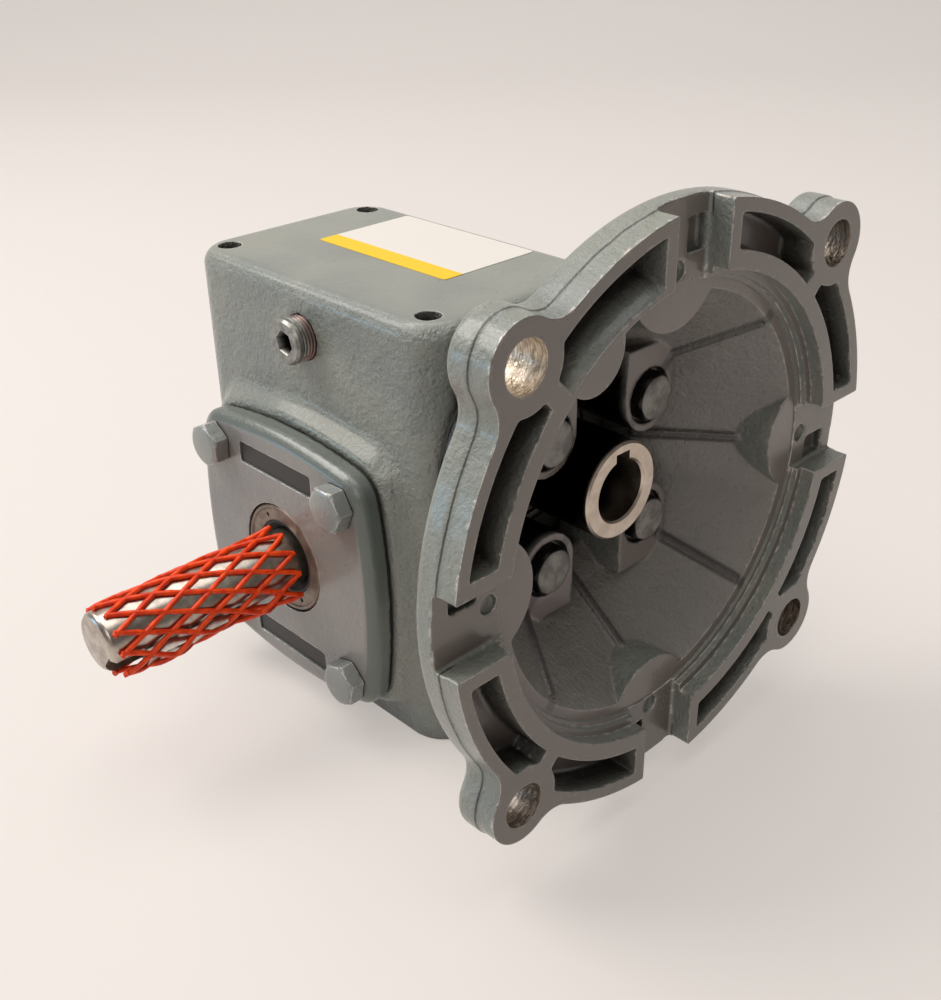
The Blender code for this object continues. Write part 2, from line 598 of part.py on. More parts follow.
    bm = bmesh.new()
    for spot in four_corners(BELL_BOLT_X, BELL_BOLT_Z):
        seat = BELL_BOSS_DEPTH + BOLT_HEAD_HEIGHT + GAP
        add_turned(bm, [
            (0, BELL_BOSS_DEPTH - OVERSHOOT),
            (BELL_BOLT_POCKET_RADIUS, BELL_BOSS_DEPTH - OVERSHOOT),
            (BELL_BOLT_POCKET_RADIUS, seat),
            (BOLT_RADIUS + GAP, seat),
            (BOLT_RADIUS + GAP, BELL_DEPTH + OVERSHOOT),
            (0, BELL_DEPTH + OVERSHOOT),
        ], HOLE_SIDES, spot)
    for spot in four_corners(EAR_OFFSET, EAR_OFFSET):
        add_cylinder(bm, EAR_HOLE_RADIUS, -OVERSHOOT, FLANGE_THICKNESS + OVERSHOOT, BORE_SIDES // 2, spot)
    for i in range(4):
        spot = turn([(RIM_DIMPLE_CENTRE, 0)], i * math.pi / 2)[0]
        add_cylinder(bm, RIM_DIMPLE_RADIUS, boss_top - OVERSHOOT, boss_top + 1.2 * MM, SMALL_SIDES, spot)
    boolean(bell, helper("bell_holes", bm, ALONG_Y, FLANGE_CENTRE), "DIFFERENCE")

    bm = bmesh.new()
    half = NOTCH_WIDTH / 2
    near = CONE_MOUTH_RADIUS - 3 * MM
    far = FLANGE_RADIUS + 3 * MM
    notch = [(near, -half), (far, -half), (far, half), (near, half)]
    for i in range(4):
        add_prism(bm, turn(notch, i * math.pi / 2), -OVERSHOOT, NOTCH_DEPTH)
    pocket = sector(
        PILOT_RADIUS + RIM_WIDTH,
        FLANGE_RADIUS - OUTER_WALL,
        half + NOTCH_SIDE_WALL,
        EAR_RADIUS - 1 * MM,
        4,
    )
    for i in range(4):
        add_prism(bm, turn(pocket, i * math.pi / 2), -OVERSHOOT, POCKET_DEPTH)
        mirrored = [(x, -y) for x, y in reversed(pocket)]
        add_prism(bm, turn(mirrored, i * math.pi / 2), -OVERSHOOT, POCKET_DEPTH)
    boolean(bell, helper("rim_pockets", bm, ALONG_Y, FLANGE_CENTRE), "DIFFERENCE")
    return bell


def make_bell_gasket():
    start = BELL_DEPTH + GAP
    end = start + BELL_GASKET_THICKNESS
    outer = CONE_THROAT_RADIUS + 5.2 * MM
    profile = [(BELL_GASKET_HOLE, start), (outer, start), (outer, end), (BELL_GASKET_HOLE, end)]
    gasket = turned("bell_gasket", profile, BORE_SIDES, GASKET, ALONG_Y, FLANGE_CENTRE)
    bm = bmesh.new()
    for spot in four_corners(BELL_BOLT_X, BELL_BOLT_Z):
        add_cylinder(bm, BOLT_RADIUS + GAP, start - OVERSHOOT, end + OVERSHOOT, SMALL_SIDES, spot)
    boolean(gasket, helper("bell_gasket_holes", bm, ALONG_Y, FLANGE_CENTRE), "DIFFERENCE")


def make_bell_bolts():
    seat = BELL_BOSS_DEPTH + BOLT_HEAD_HEIGHT
    end = BELL_DEPTH + BELL_GASKET_THICKNESS + 2 * GAP + BELL_BOLT_THREAD
    for number, (x, z) in enumerate(four_corners(BELL_BOLT_X, BELL_BOLT_Z), 1):
        toward_motor = (math.pi / 2, 0, 0)
        hex_bolt(f"bell_bolt_{number}", -seat, -end, toward_motor, FLANGE_CENTRE, (x, z))


def make_cover(name, place, material, open_bore):
    """A cover plate with a spigot that holds a bearing. Local Z points out of the gearcase."""
    bm = bmesh.new()
    add_loft(bm, [
        at_height(bowed_square(), COVER_INNER_X),
        at_height(bowed_square(), COVER_OUTER_X - 2.6 * MM),
        at_height(bowed_square(-0.7 * MM), COVER_OUTER_X - 1.3 * MM),
        at_height(bowed_square(-2.4 * MM), COVER_OUTER_X - 0.2 * MM),
        at_height(bowed_square(-3.2 * MM), COVER_OUTER_X),
    ])
    cover = new_object(name, bm, material, place, OUTPUT_CENTRE)

    bm = bmesh.new()
    inner_end = COVER_INNER_X - COVER_SPIGOT_REACH
    spigot = COVER_BORE_RADIUS - GAP
    add_turned(bm, [
        (0, inner_end),
        (spigot - 4 * MM, inner_end),
        (spigot, inner_end + 4 * MM),
        (spigot, COVER_INNER_X + 1 * MM),
        (0, COVER_INNER_X + 1 * MM),
    ], BORE_SIDES)
    boolean(cover, helper(name + "_spigot", bm, place, OUTPUT_CENTRE), "UNION")

    bore_end = OUTPUT_BEARING_X + OUTPUT_BEARING[2] + GAP
    bm = bmesh.new()
    pocket_radius = OUTPUT_BEARING[1]
    profile = [(0, inner_end - OVERSHOOT), (pocket_radius, inner_end - OVERSHOOT), (pocket_radius, bore_end)]
    if open_bore:
        seal_start = COVER_OUTER_X - OUTPUT_SEAL_WIDTH - GAP
        profile += [
            (OUTPUT_SEAL_RADIUS - 3 * MM, bore_end),
            (OUTPUT_SEAL_RADIUS - 3 * MM, seal_start),
            (OUTPUT_SEAL_RADIUS, seal_start),
            (OUTPUT_SEAL_RADIUS, COVER_OUTER_X + OVERSHOOT),
            (0, COVER_OUTER_X + OVERSHOOT),
        ]
    else:
        profile += [(OUTPUT_JOURNAL_RADIUS + 3 * MM, bore_end)]
        profile += [(OUTPUT_JOURNAL_RADIUS + 3 * MM, bore_end + 2 * MM), (0, bore_end + 2 * MM)]
    add_turned(bm, profile, BORE_SIDES)
    for spot in four_corners(COVER_BOLT_OFFSET, COVER_BOLT_OFFSET):
        start = COVER_INNER_X - OVERSHOOT
        add_cylinder(bm, BOLT_RADIUS + GAP, start, COVER_OUTER_X + OVERSHOOT, SMALL_SIDES, spot)
    if open_bore:
        plate = rectangle(NAMEPLATE_HEIGHT / 2, NAMEPLATE_WIDTH / 2)
        for side in (-1, 1):
            outline = [(x + side * NAMEPLATE_OFFSET, y) for x, y in plate]
            add_prism(bm, outline, COVER_OUTER_X - NAMEPLATE_DEPTH, COVER_OUTER_X + OVERSHOOT)
    boolean(cover, helper(name + "_cuts", bm, place, OUTPUT_CENTRE), "DIFFERENCE")

    bm = bmesh.new()
    gasket_start = PAD_FACE_X + GAP
    gasket_end = gasket_start + COVER_GASKET_THICKNESS
    add_prism(bm, bowed_square(-0.4 * MM), gasket_start, gasket_end)
    gasket = new_object(name + "_gasket", bm, GASKET, place, OUTPUT_CENTRE)
    bm = bmesh.new()
    reach = (gasket_start - OVERSHOOT, gasket_end + OVERSHOOT)
    add_cylinder(bm, COVER_BORE_RADIUS, *reach, BORE_SIDES)
    for spot in four_corners(COVER_BOLT_OFFSET, COVER_BOLT_OFFSET):
        add_cylinder(bm, BOLT_RADIUS + GAP, *reach, SMALL_SIDES, spot)
    boolean(gasket, helper(name + "_gasket_holes", bm, place, OUTPUT_CENTRE), "DIFFERENCE")

    for number, spot in enumerate(four_corners(COVER_BOLT_OFFSET, COVER_BOLT_OFFSET), 1):
        end = COVER_OUTER_X - COVER_BOLT_LENGTH
        hex_bolt(f"{name}_bolt_{number}", COVER_OUTER_X + GAP, end, place, OUTPUT_CENTRE, spot)


def make_bearing(name, sizes, start, place, centre):
    """A ball bearing as three pieces: outer race, inner race, and the balls held in their cage."""
    bore, outer, width, ball = sizes
    bore += GAP
    outer -= GAP
    pitch = (bore + outer) / 2
    groove = ball + BALL_PLAY
    middle = start + width / 2
    inner_land = pitch - 0.62 * ball
    outer_land = pitch + 0.62 * ball
    half_groove = math.sqrt(groove**2 - (0.62 * ball) ** 2)
    lean = math.atan2(half_groove, 0.62 * ball)
    groove_steps = 4
    lower = arc((pitch, middle), groove, math.pi - lean, math.pi + lean, groove_steps)
    upper = arc((pitch, middle), groove, -lean, lean, groove_steps)
    end = start + width
    inner_profile = [(bore, start), (inner_land, start)] + lower[::-1] + [(inner_land, end), (bore, end)]
    outer_profile = [(outer, end), (outer_land, end)] + upper[::-1] + [(outer_land, start), (outer, start)]
    turned(name + "_inner_race", inner_profile, SHAFT_SIDES, BEARING_STEEL, place, centre)
    turned(name + "_outer_race", outer_profile, SHAFT_SIDES, BEARING_STEEL, place, centre)

    cage_wall = 0.3 * ball
    cage_half = 0.35 * ball
    bm = bmesh.new()
    add_turned(bm, [
        (pitch - cage_wall, middle - cage_half),
        (pitch + cage_wall, middle - cage_half),
        (pitch + cage_wall, middle + cage_half),
        (pitch - cage_wall, middle + cage_half),
    ], 2 * BALL_COUNT)
    cage = new_object(name + "_ball_cage", bm, CAGE_BRASS, place, centre)
    bm = bmesh.new()
    for i in range(BALL_COUNT):
        x, y = turn([(pitch, 0)], math.tau * i / BALL_COUNT)[0]
        profile = arc((0, middle), ball, -math.pi / 2, math.pi / 2, 3)
        add_turned(bm, [(0, middle - ball)] + profile[1:-1] + [(0, middle + ball)], BALL_SIDES, (x, y))
    boolean(cage, helper(name + "_balls", bm, place, centre), "UNION")


def make_worm_shaft():
    """The input shaft: a hollow quill in front, the worm in the middle and a journal behind."""
    front_race_end = FRONT_BEARING_Y + FRONT_BEARING[2] + GAP
    quill = QUILL_RADIUS
    journal = REAR_JOURNAL_RADIUS
    rear_race_start = REAR_BEARING_Y - GAP
    shaft_end = REAR_BEARING_Y + REAR_BEARING[2] + 1 * MM
    chamfer = 0.8 * MM
    shaft = turned("worm_shaft", [
        (0, QUILL_FACE_Y),
        (quill - chamfer / 2, QUILL_FACE_Y),
        (quill, QUILL_FACE_Y + chamfer / 2),
        (quill, front_race_end),
        (WORM_COLLAR_RADIUS, front_race_end),
        (WORM_COLLAR_RADIUS, -CAVITY_HALF_Y),
        (WORM_BODY_RADIUS, -CAVITY_HALF_Y + 3 * MM),
        (WORM_BODY_RADIUS, rear_race_start - 2 * MM),
        (WORM_BODY_RADIUS + 1.5 * MM, rear_race_start - 2 * MM),
        (WORM_BODY_RADIUS + 1.5 * MM, rear_race_start),
        (journal, rear_race_start),
        (journal, shaft_end - chamfer),
        (journal - chamfer, shaft_end),
        (0, shaft_end),
    ], SHAFT_SIDES, STEEL, ALONG_Y, INPUT_CENTRE)

    root = WORM_PITCH_RADIUS - DEDENDUM
    tip = WORM_PITCH_RADIUS + MODULE
    bm = bmesh.new()
    inside = root - 1.5 * MM
    add_turned(bm, [
        (tip + 2 * MM, -WORM_LENGTH / 2),
        (tip + 2 * MM, WORM_LENGTH / 2),
        (inside, WORM_LENGTH / 2),
        (inside, -WORM_LENGTH / 2),
    ], SHAFT_SIDES)
    boolean(shaft, helper("worm_relief", bm, ALONG_Y, INPUT_CENTRE), "DIFFERENCE")
    boolean(shaft, worm_thread(root, tip), "UNION")

    bm = bmesh.new()
    bore_end = QUILL_FACE_Y + QUILL_BORE_DEPTH
    radius = QUILL_BORE_RADIUS
    add_turned(bm, [
        (0, QUILL_FACE_Y - OVERSHOOT),
        (radius + OVERSHOOT + chamfer / 2, QUILL_FACE_Y - OVERSHOOT),
        (radius, QUILL_FACE_Y + chamfer / 2),
        (radius, bore_end),
        (0, bore_end + 2 * MM),
    ], SHAFT_SIDES)
    boolean(shaft, helper("quill_bore", bm, ALONG_Y, INPUT_CENTRE), "DIFFERENCE")
    bm = bmesh.new()
    half = KEY_WIDTH / 2
    outline = [(-half, 0), (half, 0), (half, -QUILL_KEYWAY_TOP), (-half, -QUILL_KEYWAY_TOP)]
    add_prism(bm, outline, QUILL_FACE_Y - OVERSHOOT, bore_end)
    boolean(shaft, helper("quill_keyway", bm, ALONG_Y, INPUT_CENTRE), "DIFFERENCE")


def worm_thread(root, tip):
    """A single right-hand thread with straight flanks, trimmed to its length with run-outs."""
    segments = 20
    half_pitch_width = WORM_LEAD / 4 - FLANK_CLEARANCE
    spread = math.tan(PRESSURE_ANGLE)
    half_tip = half_pitch_width - MODULE * spread
    half_root = half_pitch_width + DEDENDUM * spread
    shape = [(-half_root, root), (-half_tip, tip), (half_tip, tip), (half_root, root)]
    turns = math.ceil(WORM_LENGTH / 2 / WORM_LEAD) + 1
    rows = [
        (turn_number * WORM_LEAD + height, radius)
        for turn_number in range(-turns, turns + 1)
        for height, radius in shape
    ]
    per_turn = len(shape)
    bm = bmesh.new()
    grid = []
    for i in range(segments):
        angle = math.tau * i / segments
        rise = WORM_LEAD * i / segments
        # Local X, Y and Z lie along the assembly's X, -Z and Y.
        direction = (math.sin(angle), -math.cos(angle))
        grid.append([
            bm.verts.new((radius * direction[0], radius * direction[1], height + rise))
            for height, radius in rows
        ])
    for i in range(segments - 1):
        for k in range(len(rows) - 1):
            bm.faces.new((grid[i][k], grid[i + 1][k], grid[i + 1][k + 1], grid[i][k + 1]))
    last = grid[-1]
    first = grid[0]
    for k in range(len(rows) - 1 - per_turn):
        bm.faces.new((last[k], first[k + per_turn], first[k + per_turn + 1], last[k + 1]))
    low_loop = [grid[i][0] for i in range(segments)] + [first[k] for k in range(per_turn, 0, -1)]
    high = len(rows) - 1
    high_loop = [grid[i][high] for i in range(segments)]
    high_loop = [last[k] for k in range(high - per_turn, high)] + high_loop[::-1]
    top_height = rows[-1][0] + WORM_LEAD * (segments - 1) / segments
    for loop, height in ((low_loop, rows[0][0]), (high_loop, top_height)):
        centre = bm.verts.new((0, 0, height))
        for a, b in zip(loop, loop[1:] + loop[:1]):
            bm.faces.new((a, b, centre))
    bmesh.ops.triangulate(bm, faces=bm.faces)
    thread = helper("worm_thread", bm, ALONG_Y, INPUT_CENTRE)

    end = WORM_LENGTH / 2 + 0.5 * MM
    run_out = 3.5 * MM
    bm = bmesh.new()
    add_turned(bm, [
        (0, -end),
        (root - 0.7 * MM, -end),
        (root + 0.6 * MM, -end + 0.7 * MM),
        (tip + 1 * MM, -end + run_out),
        (tip + 1 * MM, end - run_out),
        (root + 0.6 * MM, end - 0.7 * MM),
        (root - 0.7 * MM, end),
        (0, end),
    ], segments)
    boolean(thread, helper("worm_thread_trim", bm, ALONG_Y, INPUT_CENTRE), "INTERSECT")
    return thread


def wheel_outline(tip_radius, twist, half_space_extra):
    """One section of the worm wheel: involute flanks between a root and a tip circle."""
    base = WHEEL_PITCH_RADIUS * math.cos(PRESSURE_ANGLE)
    root = WHEEL_PITCH_RADIUS - DEDENDUM
    pitch_half_angle = math.pi / 2 / WHEEL_TEETH - half_space_extra / WHEEL_PITCH_RADIUS
    pitch_involute = math.tan(PRESSURE_ANGLE) - PRESSURE_ANGLE
    flank = [(root, pitch_half_angle + pitch_involute + 0.002)]
    steps = 2
    start = max(base, root + 0.3 * MM)
    for i in range(steps + 1):
        radius = start + (tip_radius - start) * i / steps
        pressure = math.acos(min(1.0, base / radius))
        flank.append((radius, pitch_half_angle + pitch_involute - (math.tan(pressure) - pressure)))
    points = []
    for tooth in range(WHEEL_TEETH):
        # The top tooth stands in the groove of the worm, whose thread starts half a turn away.
        middle = math.tau * tooth / WHEEL_TEETH + twist
        for radius, half_angle in flank:
            points.append((radius, middle - half_angle))
        for radius, half_angle in reversed(flank):
            points.append((radius, middle + half_angle))
    return [(-radius * math.cos(angle), radius * math.sin(angle)) for radius, angle in points]


def make_worm_wheel():
    """The bronze wheel. Its teeth lean with the worm's lead and their tips are throated round the worm."""
    throat = CENTRE_DISTANCE - WHEEL_PITCH_RADIUS - MODULE
    lead_slope = WORM_LEAD / (math.tau * WORM_PITCH_RADIUS)
    bm = bmesh.new()
    rings = []
    for share in (-1.0, 0.0, 1.0):
        x = share * WHEEL_HALF_FACE
        tip = CENTRE_DISTANCE - math.sqrt(throat**2 - x**2)
        tip = min(tip, WHEEL_PITCH_RADIUS + 1.1 * MODULE)
        twist = -lead_slope * x / WHEEL_PITCH_RADIUS
        rings.append(at_height(wheel_outline(tip, twist, FLANK_CLEARANCE * (1 + abs(share) / 2)), x))
    add_loft(bm, rings)
    bmesh.ops.triangulate(bm, faces=bm.faces)
    wheel = new_object("worm_wheel", bm, BRONZE, TO_RIGHT, OUTPUT_CENTRE)

    bm = bmesh.new()
    bore = WHEEL_SEAT_RADIUS + GAP
    add_cylinder(bm, WHEEL_HUB_RADIUS, -WHEEL_HALF_HUB, WHEEL_HALF_HUB, SHAFT_SIDES)
    boolean(wheel, helper("wheel_hub", bm, TO_RIGHT, OUTPUT_CENTRE), "UNION")
    bm = bmesh.new()
    add_cylinder(bm, bore, -WHEEL_HALF_HUB - OVERSHOOT, WHEEL_HALF_HUB + OVERSHOOT, SHAFT_SIDES)
    boolean(wheel, helper("wheel_bore", bm, TO_RIGHT, OUTPUT_CENTRE), "DIFFERENCE")
    bm = bmesh.new()
    half = KEY_WIDTH / 2 + GAP
    top = WHEEL_SEAT_RADIUS + KEY_WIDTH / 2 + GAP
    outline = [(-top, -half), (0, -half), (0, half), (-top, half)]
    add_prism(bm, outline, -WHEEL_HALF_HUB - OVERSHOOT, WHEEL_HALF_HUB + OVERSHOOT)
    boolean(wheel, helper("wheel_keyway", bm, TO_RIGHT, OUTPUT_CENTRE), "DIFFERENCE")


def make_output_shaft():
    """The output shaft with its two keyways, keys and spacers. Local Z is the assembly's X."""
    left_race = -OUTPUT_BEARING_X
    journal_end = OUTPUT_BEARING_X + OUTPUT_BEARING[2] + GAP
    chamfer = 0.9 * MM
    seat = WHEEL_SEAT_RADIUS
    shaft = turned("output_shaft", [
        (0, OUTPUT_SHAFT_END_X),
        (OUTPUT_SHAFT_RADIUS - chamfer, OUTPUT_SHAFT_END_X),
        (OUTPUT_SHAFT_RADIUS, OUTPUT_SHAFT_END_X + chamfer),
        (OUTPUT_SHAFT_RADIUS, -journal_end),
        (OUTPUT_JOURNAL_RADIUS, -journal_end),
        (OUTPUT_JOURNAL_RADIUS, left_race + GAP),
        (seat, left_race + GAP),
        (seat, -left_race - GAP),
        (OUTPUT_JOURNAL_RADIUS, -left_race - GAP),
        (OUTPUT_JOURNAL_RADIUS, journal_end),
        (OUTPUT_JOURNAL_RADIUS - chamfer, journal_end + chamfer),
        (0, journal_end + chamfer),
    ], SHAFT_SIDES, STEEL, TO_RIGHT, OUTPUT_CENTRE)

    half = KEY_WIDTH / 2
    bm = bmesh.new()
    floor = seat - half
    outline = [(-seat - 1 * MM, -half), (-floor, -half), (-floor, half), (-seat - 1 * MM, half)]
    add_prism(bm, outline, -GEAR_KEY_LENGTH / 2, GEAR_KEY_LENGTH / 2)
    floor = OUTPUT_SHAFT_RADIUS - half
    rim = OUTPUT_SHAFT_RADIUS + 1 * MM
    keyway_start = OUTPUT_SHAFT_END_X - OVERSHOOT
    outline = turn([(floor, -half), (rim, -half), (rim, half), (floor, half)], OUTPUT_KEYWAY_TURN)
    add_prism(bm, outline, keyway_start, OUTPUT_SHAFT_END_X + OUTPUT_KEYWAY_LENGTH)
    boolean(shaft, helper("shaft_keyways", bm, TO_RIGHT, OUTPUT_CENTRE), "DIFFERENCE")

    side = half - GAP / 2
    for name, centre_radius, angle, reach in (
        ("gear_key", -seat, 0, (-GEAR_KEY_LENGTH / 2 + GAP, GEAR_KEY_LENGTH / 2 - GAP)),
        ("output_key", OUTPUT_SHAFT_RADIUS, OUTPUT_KEYWAY_TURN, (
            OUTPUT_SHAFT_END_X + OUTPUT_KEY_START,
            OUTPUT_SHAFT_END_X + OUTPUT_KEY_START + OUTPUT_KEY_LENGTH,
        )),
    ):
        bm = bmesh.new()
        outline = [(centre_radius + x, y) for x, y in rectangle(side, side)]
        add_prism(bm, turn(outline, angle), *reach)
        new_object(name, bm, STEEL, TO_RIGHT, OUTPUT_CENTRE)

    start = WHEEL_HALF_HUB + GAP
    end = OUTPUT_BEARING_X
    bore = seat + GAP
    for name, place in (("left_spacer", TO_LEFT), ("right_spacer", TO_RIGHT)):
        profile = [(bore, start), (SPACER_RADIUS, start), (SPACER_RADIUS, end - GAP), (bore, end - GAP)]
        turned(name, profile, SHAFT_SIDES, STEEL, place, OUTPUT_CENTRE)


def make_sleeve():
    """The plastic net pushed over the shaft and its key, as a plain tube."""
    inner = OUTPUT_SHAFT_RADIUS + GAP
    key_corner = math.hypot(OUTPUT_SHAFT_RADIUS + KEY_WIDTH / 2, KEY_WIDTH / 2) + GAP
    corner_angle = math.atan2(KEY_WIDTH / 2 + GAP, OUTPUT_SHAFT_RADIUS + KEY_WIDTH / 2)
    lean = math.acos(inner / key_corner)
    steps = 18
    start = corner_angle + lean
    inside = arc((0, 0), inner, start, math.tau - start, steps)
    inside += arc((0, 0), key_corner, -corner_angle, corner_angle, 2)
    inside = turn(inside, OUTPUT_KEYWAY_TURN)
    grown = (inner + SLEEVE_WALL) / inner
    outside = [(x * grown, y * grown) for x, y in inside]
    bm = bmesh.new()
    ends = (SLEEVE_END_X, SLEEVE_START_X)
    inner_rings = [[bm.verts.new((x, y, z)) for x, y in inside] for z in ends]
    outer_rings = [[bm.verts.new((x, y, z)) for x, y in outside] for z in ends]
    count = len(inside)
    for i in range(count):
        j = (i + 1) % count
        for a, b in ((inner_rings[0], inner_rings[1]), (inner_rings[1], outer_rings[1]),
                     (outer_rings[1], outer_rings[0]), (outer_rings[0], inner_rings[0])):
            bm.faces.new((a[i], a[j], b[j], b[i]))
    new_object("net_sleeve", bm, NET_PLASTIC, TO_RIGHT, OUTPUT_CENTRE)


def make_seals():
    """A metal-cased lip seal in each shaft opening, and the snap ring behind the input seal."""
    outer = OUTPUT_SEAL_RADIUS - GAP
    lip = OUTPUT_SHAFT_RADIUS + GAP
    start = COVER_OUTER_X - OUTPUT_SEAL_WIDTH
    end = COVER_OUTER_X
    turned("output_seal", [
        (outer, start),
        (outer, end - 0.5 * MM),
        (outer - 0.5 * MM, end),
        (outer - 4.4 * MM, end),
        (outer - 5.2 * MM, end - 1.2 * MM),
        (lip + 0.6 * MM, end - 1.2 * MM),
        (lip, end - 2.2 * MM),
        (lip, start + 2 * MM),
        (lip + 1.5 * MM, start),
    ], BORE_SIDES, SEAL_METAL, TO_LEFT, OUTPUT_CENTRE)

    outer = FRONT_BEARING[1] - GAP
    lip = QUILL_RADIUS + GAP
    start = INPUT_SEAL_Y
    end = INPUT_SEAL_Y + INPUT_SEAL_WIDTH
    turned("input_seal", [
        (outer - 0.5 * MM, start),
        (outer, start + 0.5 * MM),
        (outer, end),
        (lip + 1.2 * MM, end),
        (lip, end - 2 * MM),
        (lip, start + 1.5 * MM),
        (lip + 0.6 * MM, start + 1 * MM),
        (outer - 2.4 * MM, start + 1 * MM),
        (outer - 2.0 * MM, start),
    ], SHAFT_SIDES, SEAL_METAL, ALONG_Y, INPUT_CENTRE)

    bm = bmesh.new()
    outer = FRONT_BEARING[1] + SNAP_RING_BITE - GAP
    inner = FRONT_BEARING[1] - 1.6 * MM
    opening = 0.16
    outline = arc((0, 0), outer, opening, math.tau - opening, 20)
    outline += arc((0, 0), inner, math.tau - opening, opening, 20)
    add_prism(bm, outline, SNAP_RING_Y, SNAP_RING_Y + SNAP_RING_WIDTH)
    new_object("bearing_snap_ring", bm, STEEL, ALONG_Y, INPUT_CENTRE)


def make_plugs():
    """A taper-threaded pipe plug with a hexagon socket in each side wall."""
    for name, place in (("level_plug", TO_LEFT), ("filler_plug", TO_RIGHT)):
        centre = (0, PLUG_Y, PLUG_HEIGHT)
        end = HOUSING_HALF_X + PLUG_PROTRUSION
        plug = turned(name, [
            (0, CAVITY_HALF_X + GAP),
            (PLUG_TIP_RADIUS, CAVITY_HALF_X + GAP),
            (PLUG_RADIUS, HOUSING_HALF_X + 1 * MM),
            (PLUG_RADIUS, end - 0.7 * MM),
            (PLUG_RADIUS - 0.7 * MM, end),
            (0, end),
        ], 2 * HOLE_SIDES, PLUG_STEEL, place, centre)
        bm = bmesh.new()
        add_prism(bm, hexagon(PLUG_SOCKET_FLATS), end - PLUG_SOCKET_DEPTH, end + OVERSHOOT)
        boolean(plug, helper(name + "_socket", bm, place, centre), "DIFFERENCE")


for old in list(bpy.data.objects):
    bpy.data.objects.remove(old, do_unlink=True)

PAINT = new_material("grey_green_enamel", (0.13, 0.15, 0.15), 0.42, 0.0)
STEEL = new_material("machined_steel", (0.46, 0.44, 0.42), 0.32, 1.0)
PLUG_STEEL = new_material("plug_steel", (0.20, 0.19, 0.18), 0.40, 1.0)
BEARING_STEEL = new_material("bearing_steel", (0.55, 0.55, 0.55), 0.20, 1.0)
SEAL_METAL = new_material("seal_case", (0.24, 0.20, 0.17), 0.45, 0.8)
CAGE_BRASS = new_material("ball_cage", (0.45, 0.36, 0.20), 0.35, 1.0)
BRONZE = new_material("gear_bronze", (0.50, 0.33, 0.14), 0.35, 1.0)
GASKET = new_material("gasket_paper", (0.03, 0.03, 0.03), 0.90, 0.0)
NET_PLASTIC = new_material("net_plastic", (0.75, 0.09, 0.02), 0.40, 0.0)
HELPER_MATERIAL = new_material("helper", (0.5, 0.5, 0.5), 0.50, 0.0)

make_housing()
make_bell()
make_bell_gasket()
make_bell_bolts()
make_cover("output_cover", TO_LEFT, PAINT, True)
make_cover("closed_cover", TO_RIGHT, PAINT, False)
make_bearing("front_bearing", FRONT_BEARING, FRONT_BEARING_Y, ALONG_Y, INPUT_CENTRE)
make_bearing("rear_bearing", REAR_BEARING, REAR_BEARING_Y, ALONG_Y, INPUT_CENTRE)
make_bearing("left_bearing", OUTPUT_BEARING, OUTPUT_BEARING_X, TO_LEFT, OUTPUT_CENTRE)
make_bearing("right_bearing", OUTPUT_BEARING, OUTPUT_BEARING_X, TO_RIGHT, OUTPUT_CENTRE)
make_worm_shaft()
make_worm_wheel()
make_output_shaft()
make_sleeve()
make_seals()
make_plugs()
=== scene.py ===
"""Looks of a worm gear reducer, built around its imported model. Sizes are in millimetres."""

import json
import math

import bmesh
import bpy
from mathutils import Matrix, Vector, noise


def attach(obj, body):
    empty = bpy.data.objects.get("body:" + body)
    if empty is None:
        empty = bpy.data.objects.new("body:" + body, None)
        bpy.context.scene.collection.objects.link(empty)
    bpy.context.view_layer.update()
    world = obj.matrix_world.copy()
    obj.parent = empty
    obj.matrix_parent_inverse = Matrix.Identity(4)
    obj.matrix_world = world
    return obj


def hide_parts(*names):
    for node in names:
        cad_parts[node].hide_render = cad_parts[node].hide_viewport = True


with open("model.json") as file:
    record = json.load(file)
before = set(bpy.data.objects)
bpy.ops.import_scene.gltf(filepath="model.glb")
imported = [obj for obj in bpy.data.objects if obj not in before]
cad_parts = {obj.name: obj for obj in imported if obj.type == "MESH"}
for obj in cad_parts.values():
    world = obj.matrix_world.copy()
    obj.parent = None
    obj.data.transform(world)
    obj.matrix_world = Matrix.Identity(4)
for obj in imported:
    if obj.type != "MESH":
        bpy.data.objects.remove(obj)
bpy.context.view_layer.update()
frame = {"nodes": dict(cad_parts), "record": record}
nodes = frame["nodes"]
MM = 0.001

# Camera: where the photographer stood, above the shaft's end and a little to the motor's side.
CAMERA_PLACE = Vector((-203.3, -242.4, 218.0)) * MM
CAMERA_AZIMUTH = math.radians(-43.44)
CAMERA_ELEVATION = math.radians(28.59)
CAMERA_ROLL = math.radians(-1.05)
CAMERA_LENS = 44.03

camera_data = bpy.data.cameras.new("camera")
camera_data.lens = CAMERA_LENS
camera_data.clip_start = 0.01
camera = bpy.data.objects.new("camera", camera_data)
bpy.context.scene.collection.objects.link(camera)
bpy.context.scene.camera = camera
view_axis = Vector((
    -math.sin(CAMERA_AZIMUTH) * math.cos(CAMERA_ELEVATION),
    math.cos(CAMERA_AZIMUTH) * math.cos(CAMERA_ELEVATION),
    -math.sin(CAMERA_ELEVATION),
))
level_right = view_axis.cross(Vector((0, 0, 1))).normalized()
level_up = level_right.cross(view_axis)
view_right = level_right * math.cos(CAMERA_ROLL) + level_up * math.sin(CAMERA_ROLL)
view_up = view_right.cross(view_axis)
turned_view = Matrix((view_right, view_up, -view_axis)).transposed()
camera.matrix_world = Matrix.Translation(CAMERA_PLACE) @ turned_view.to_4x4()


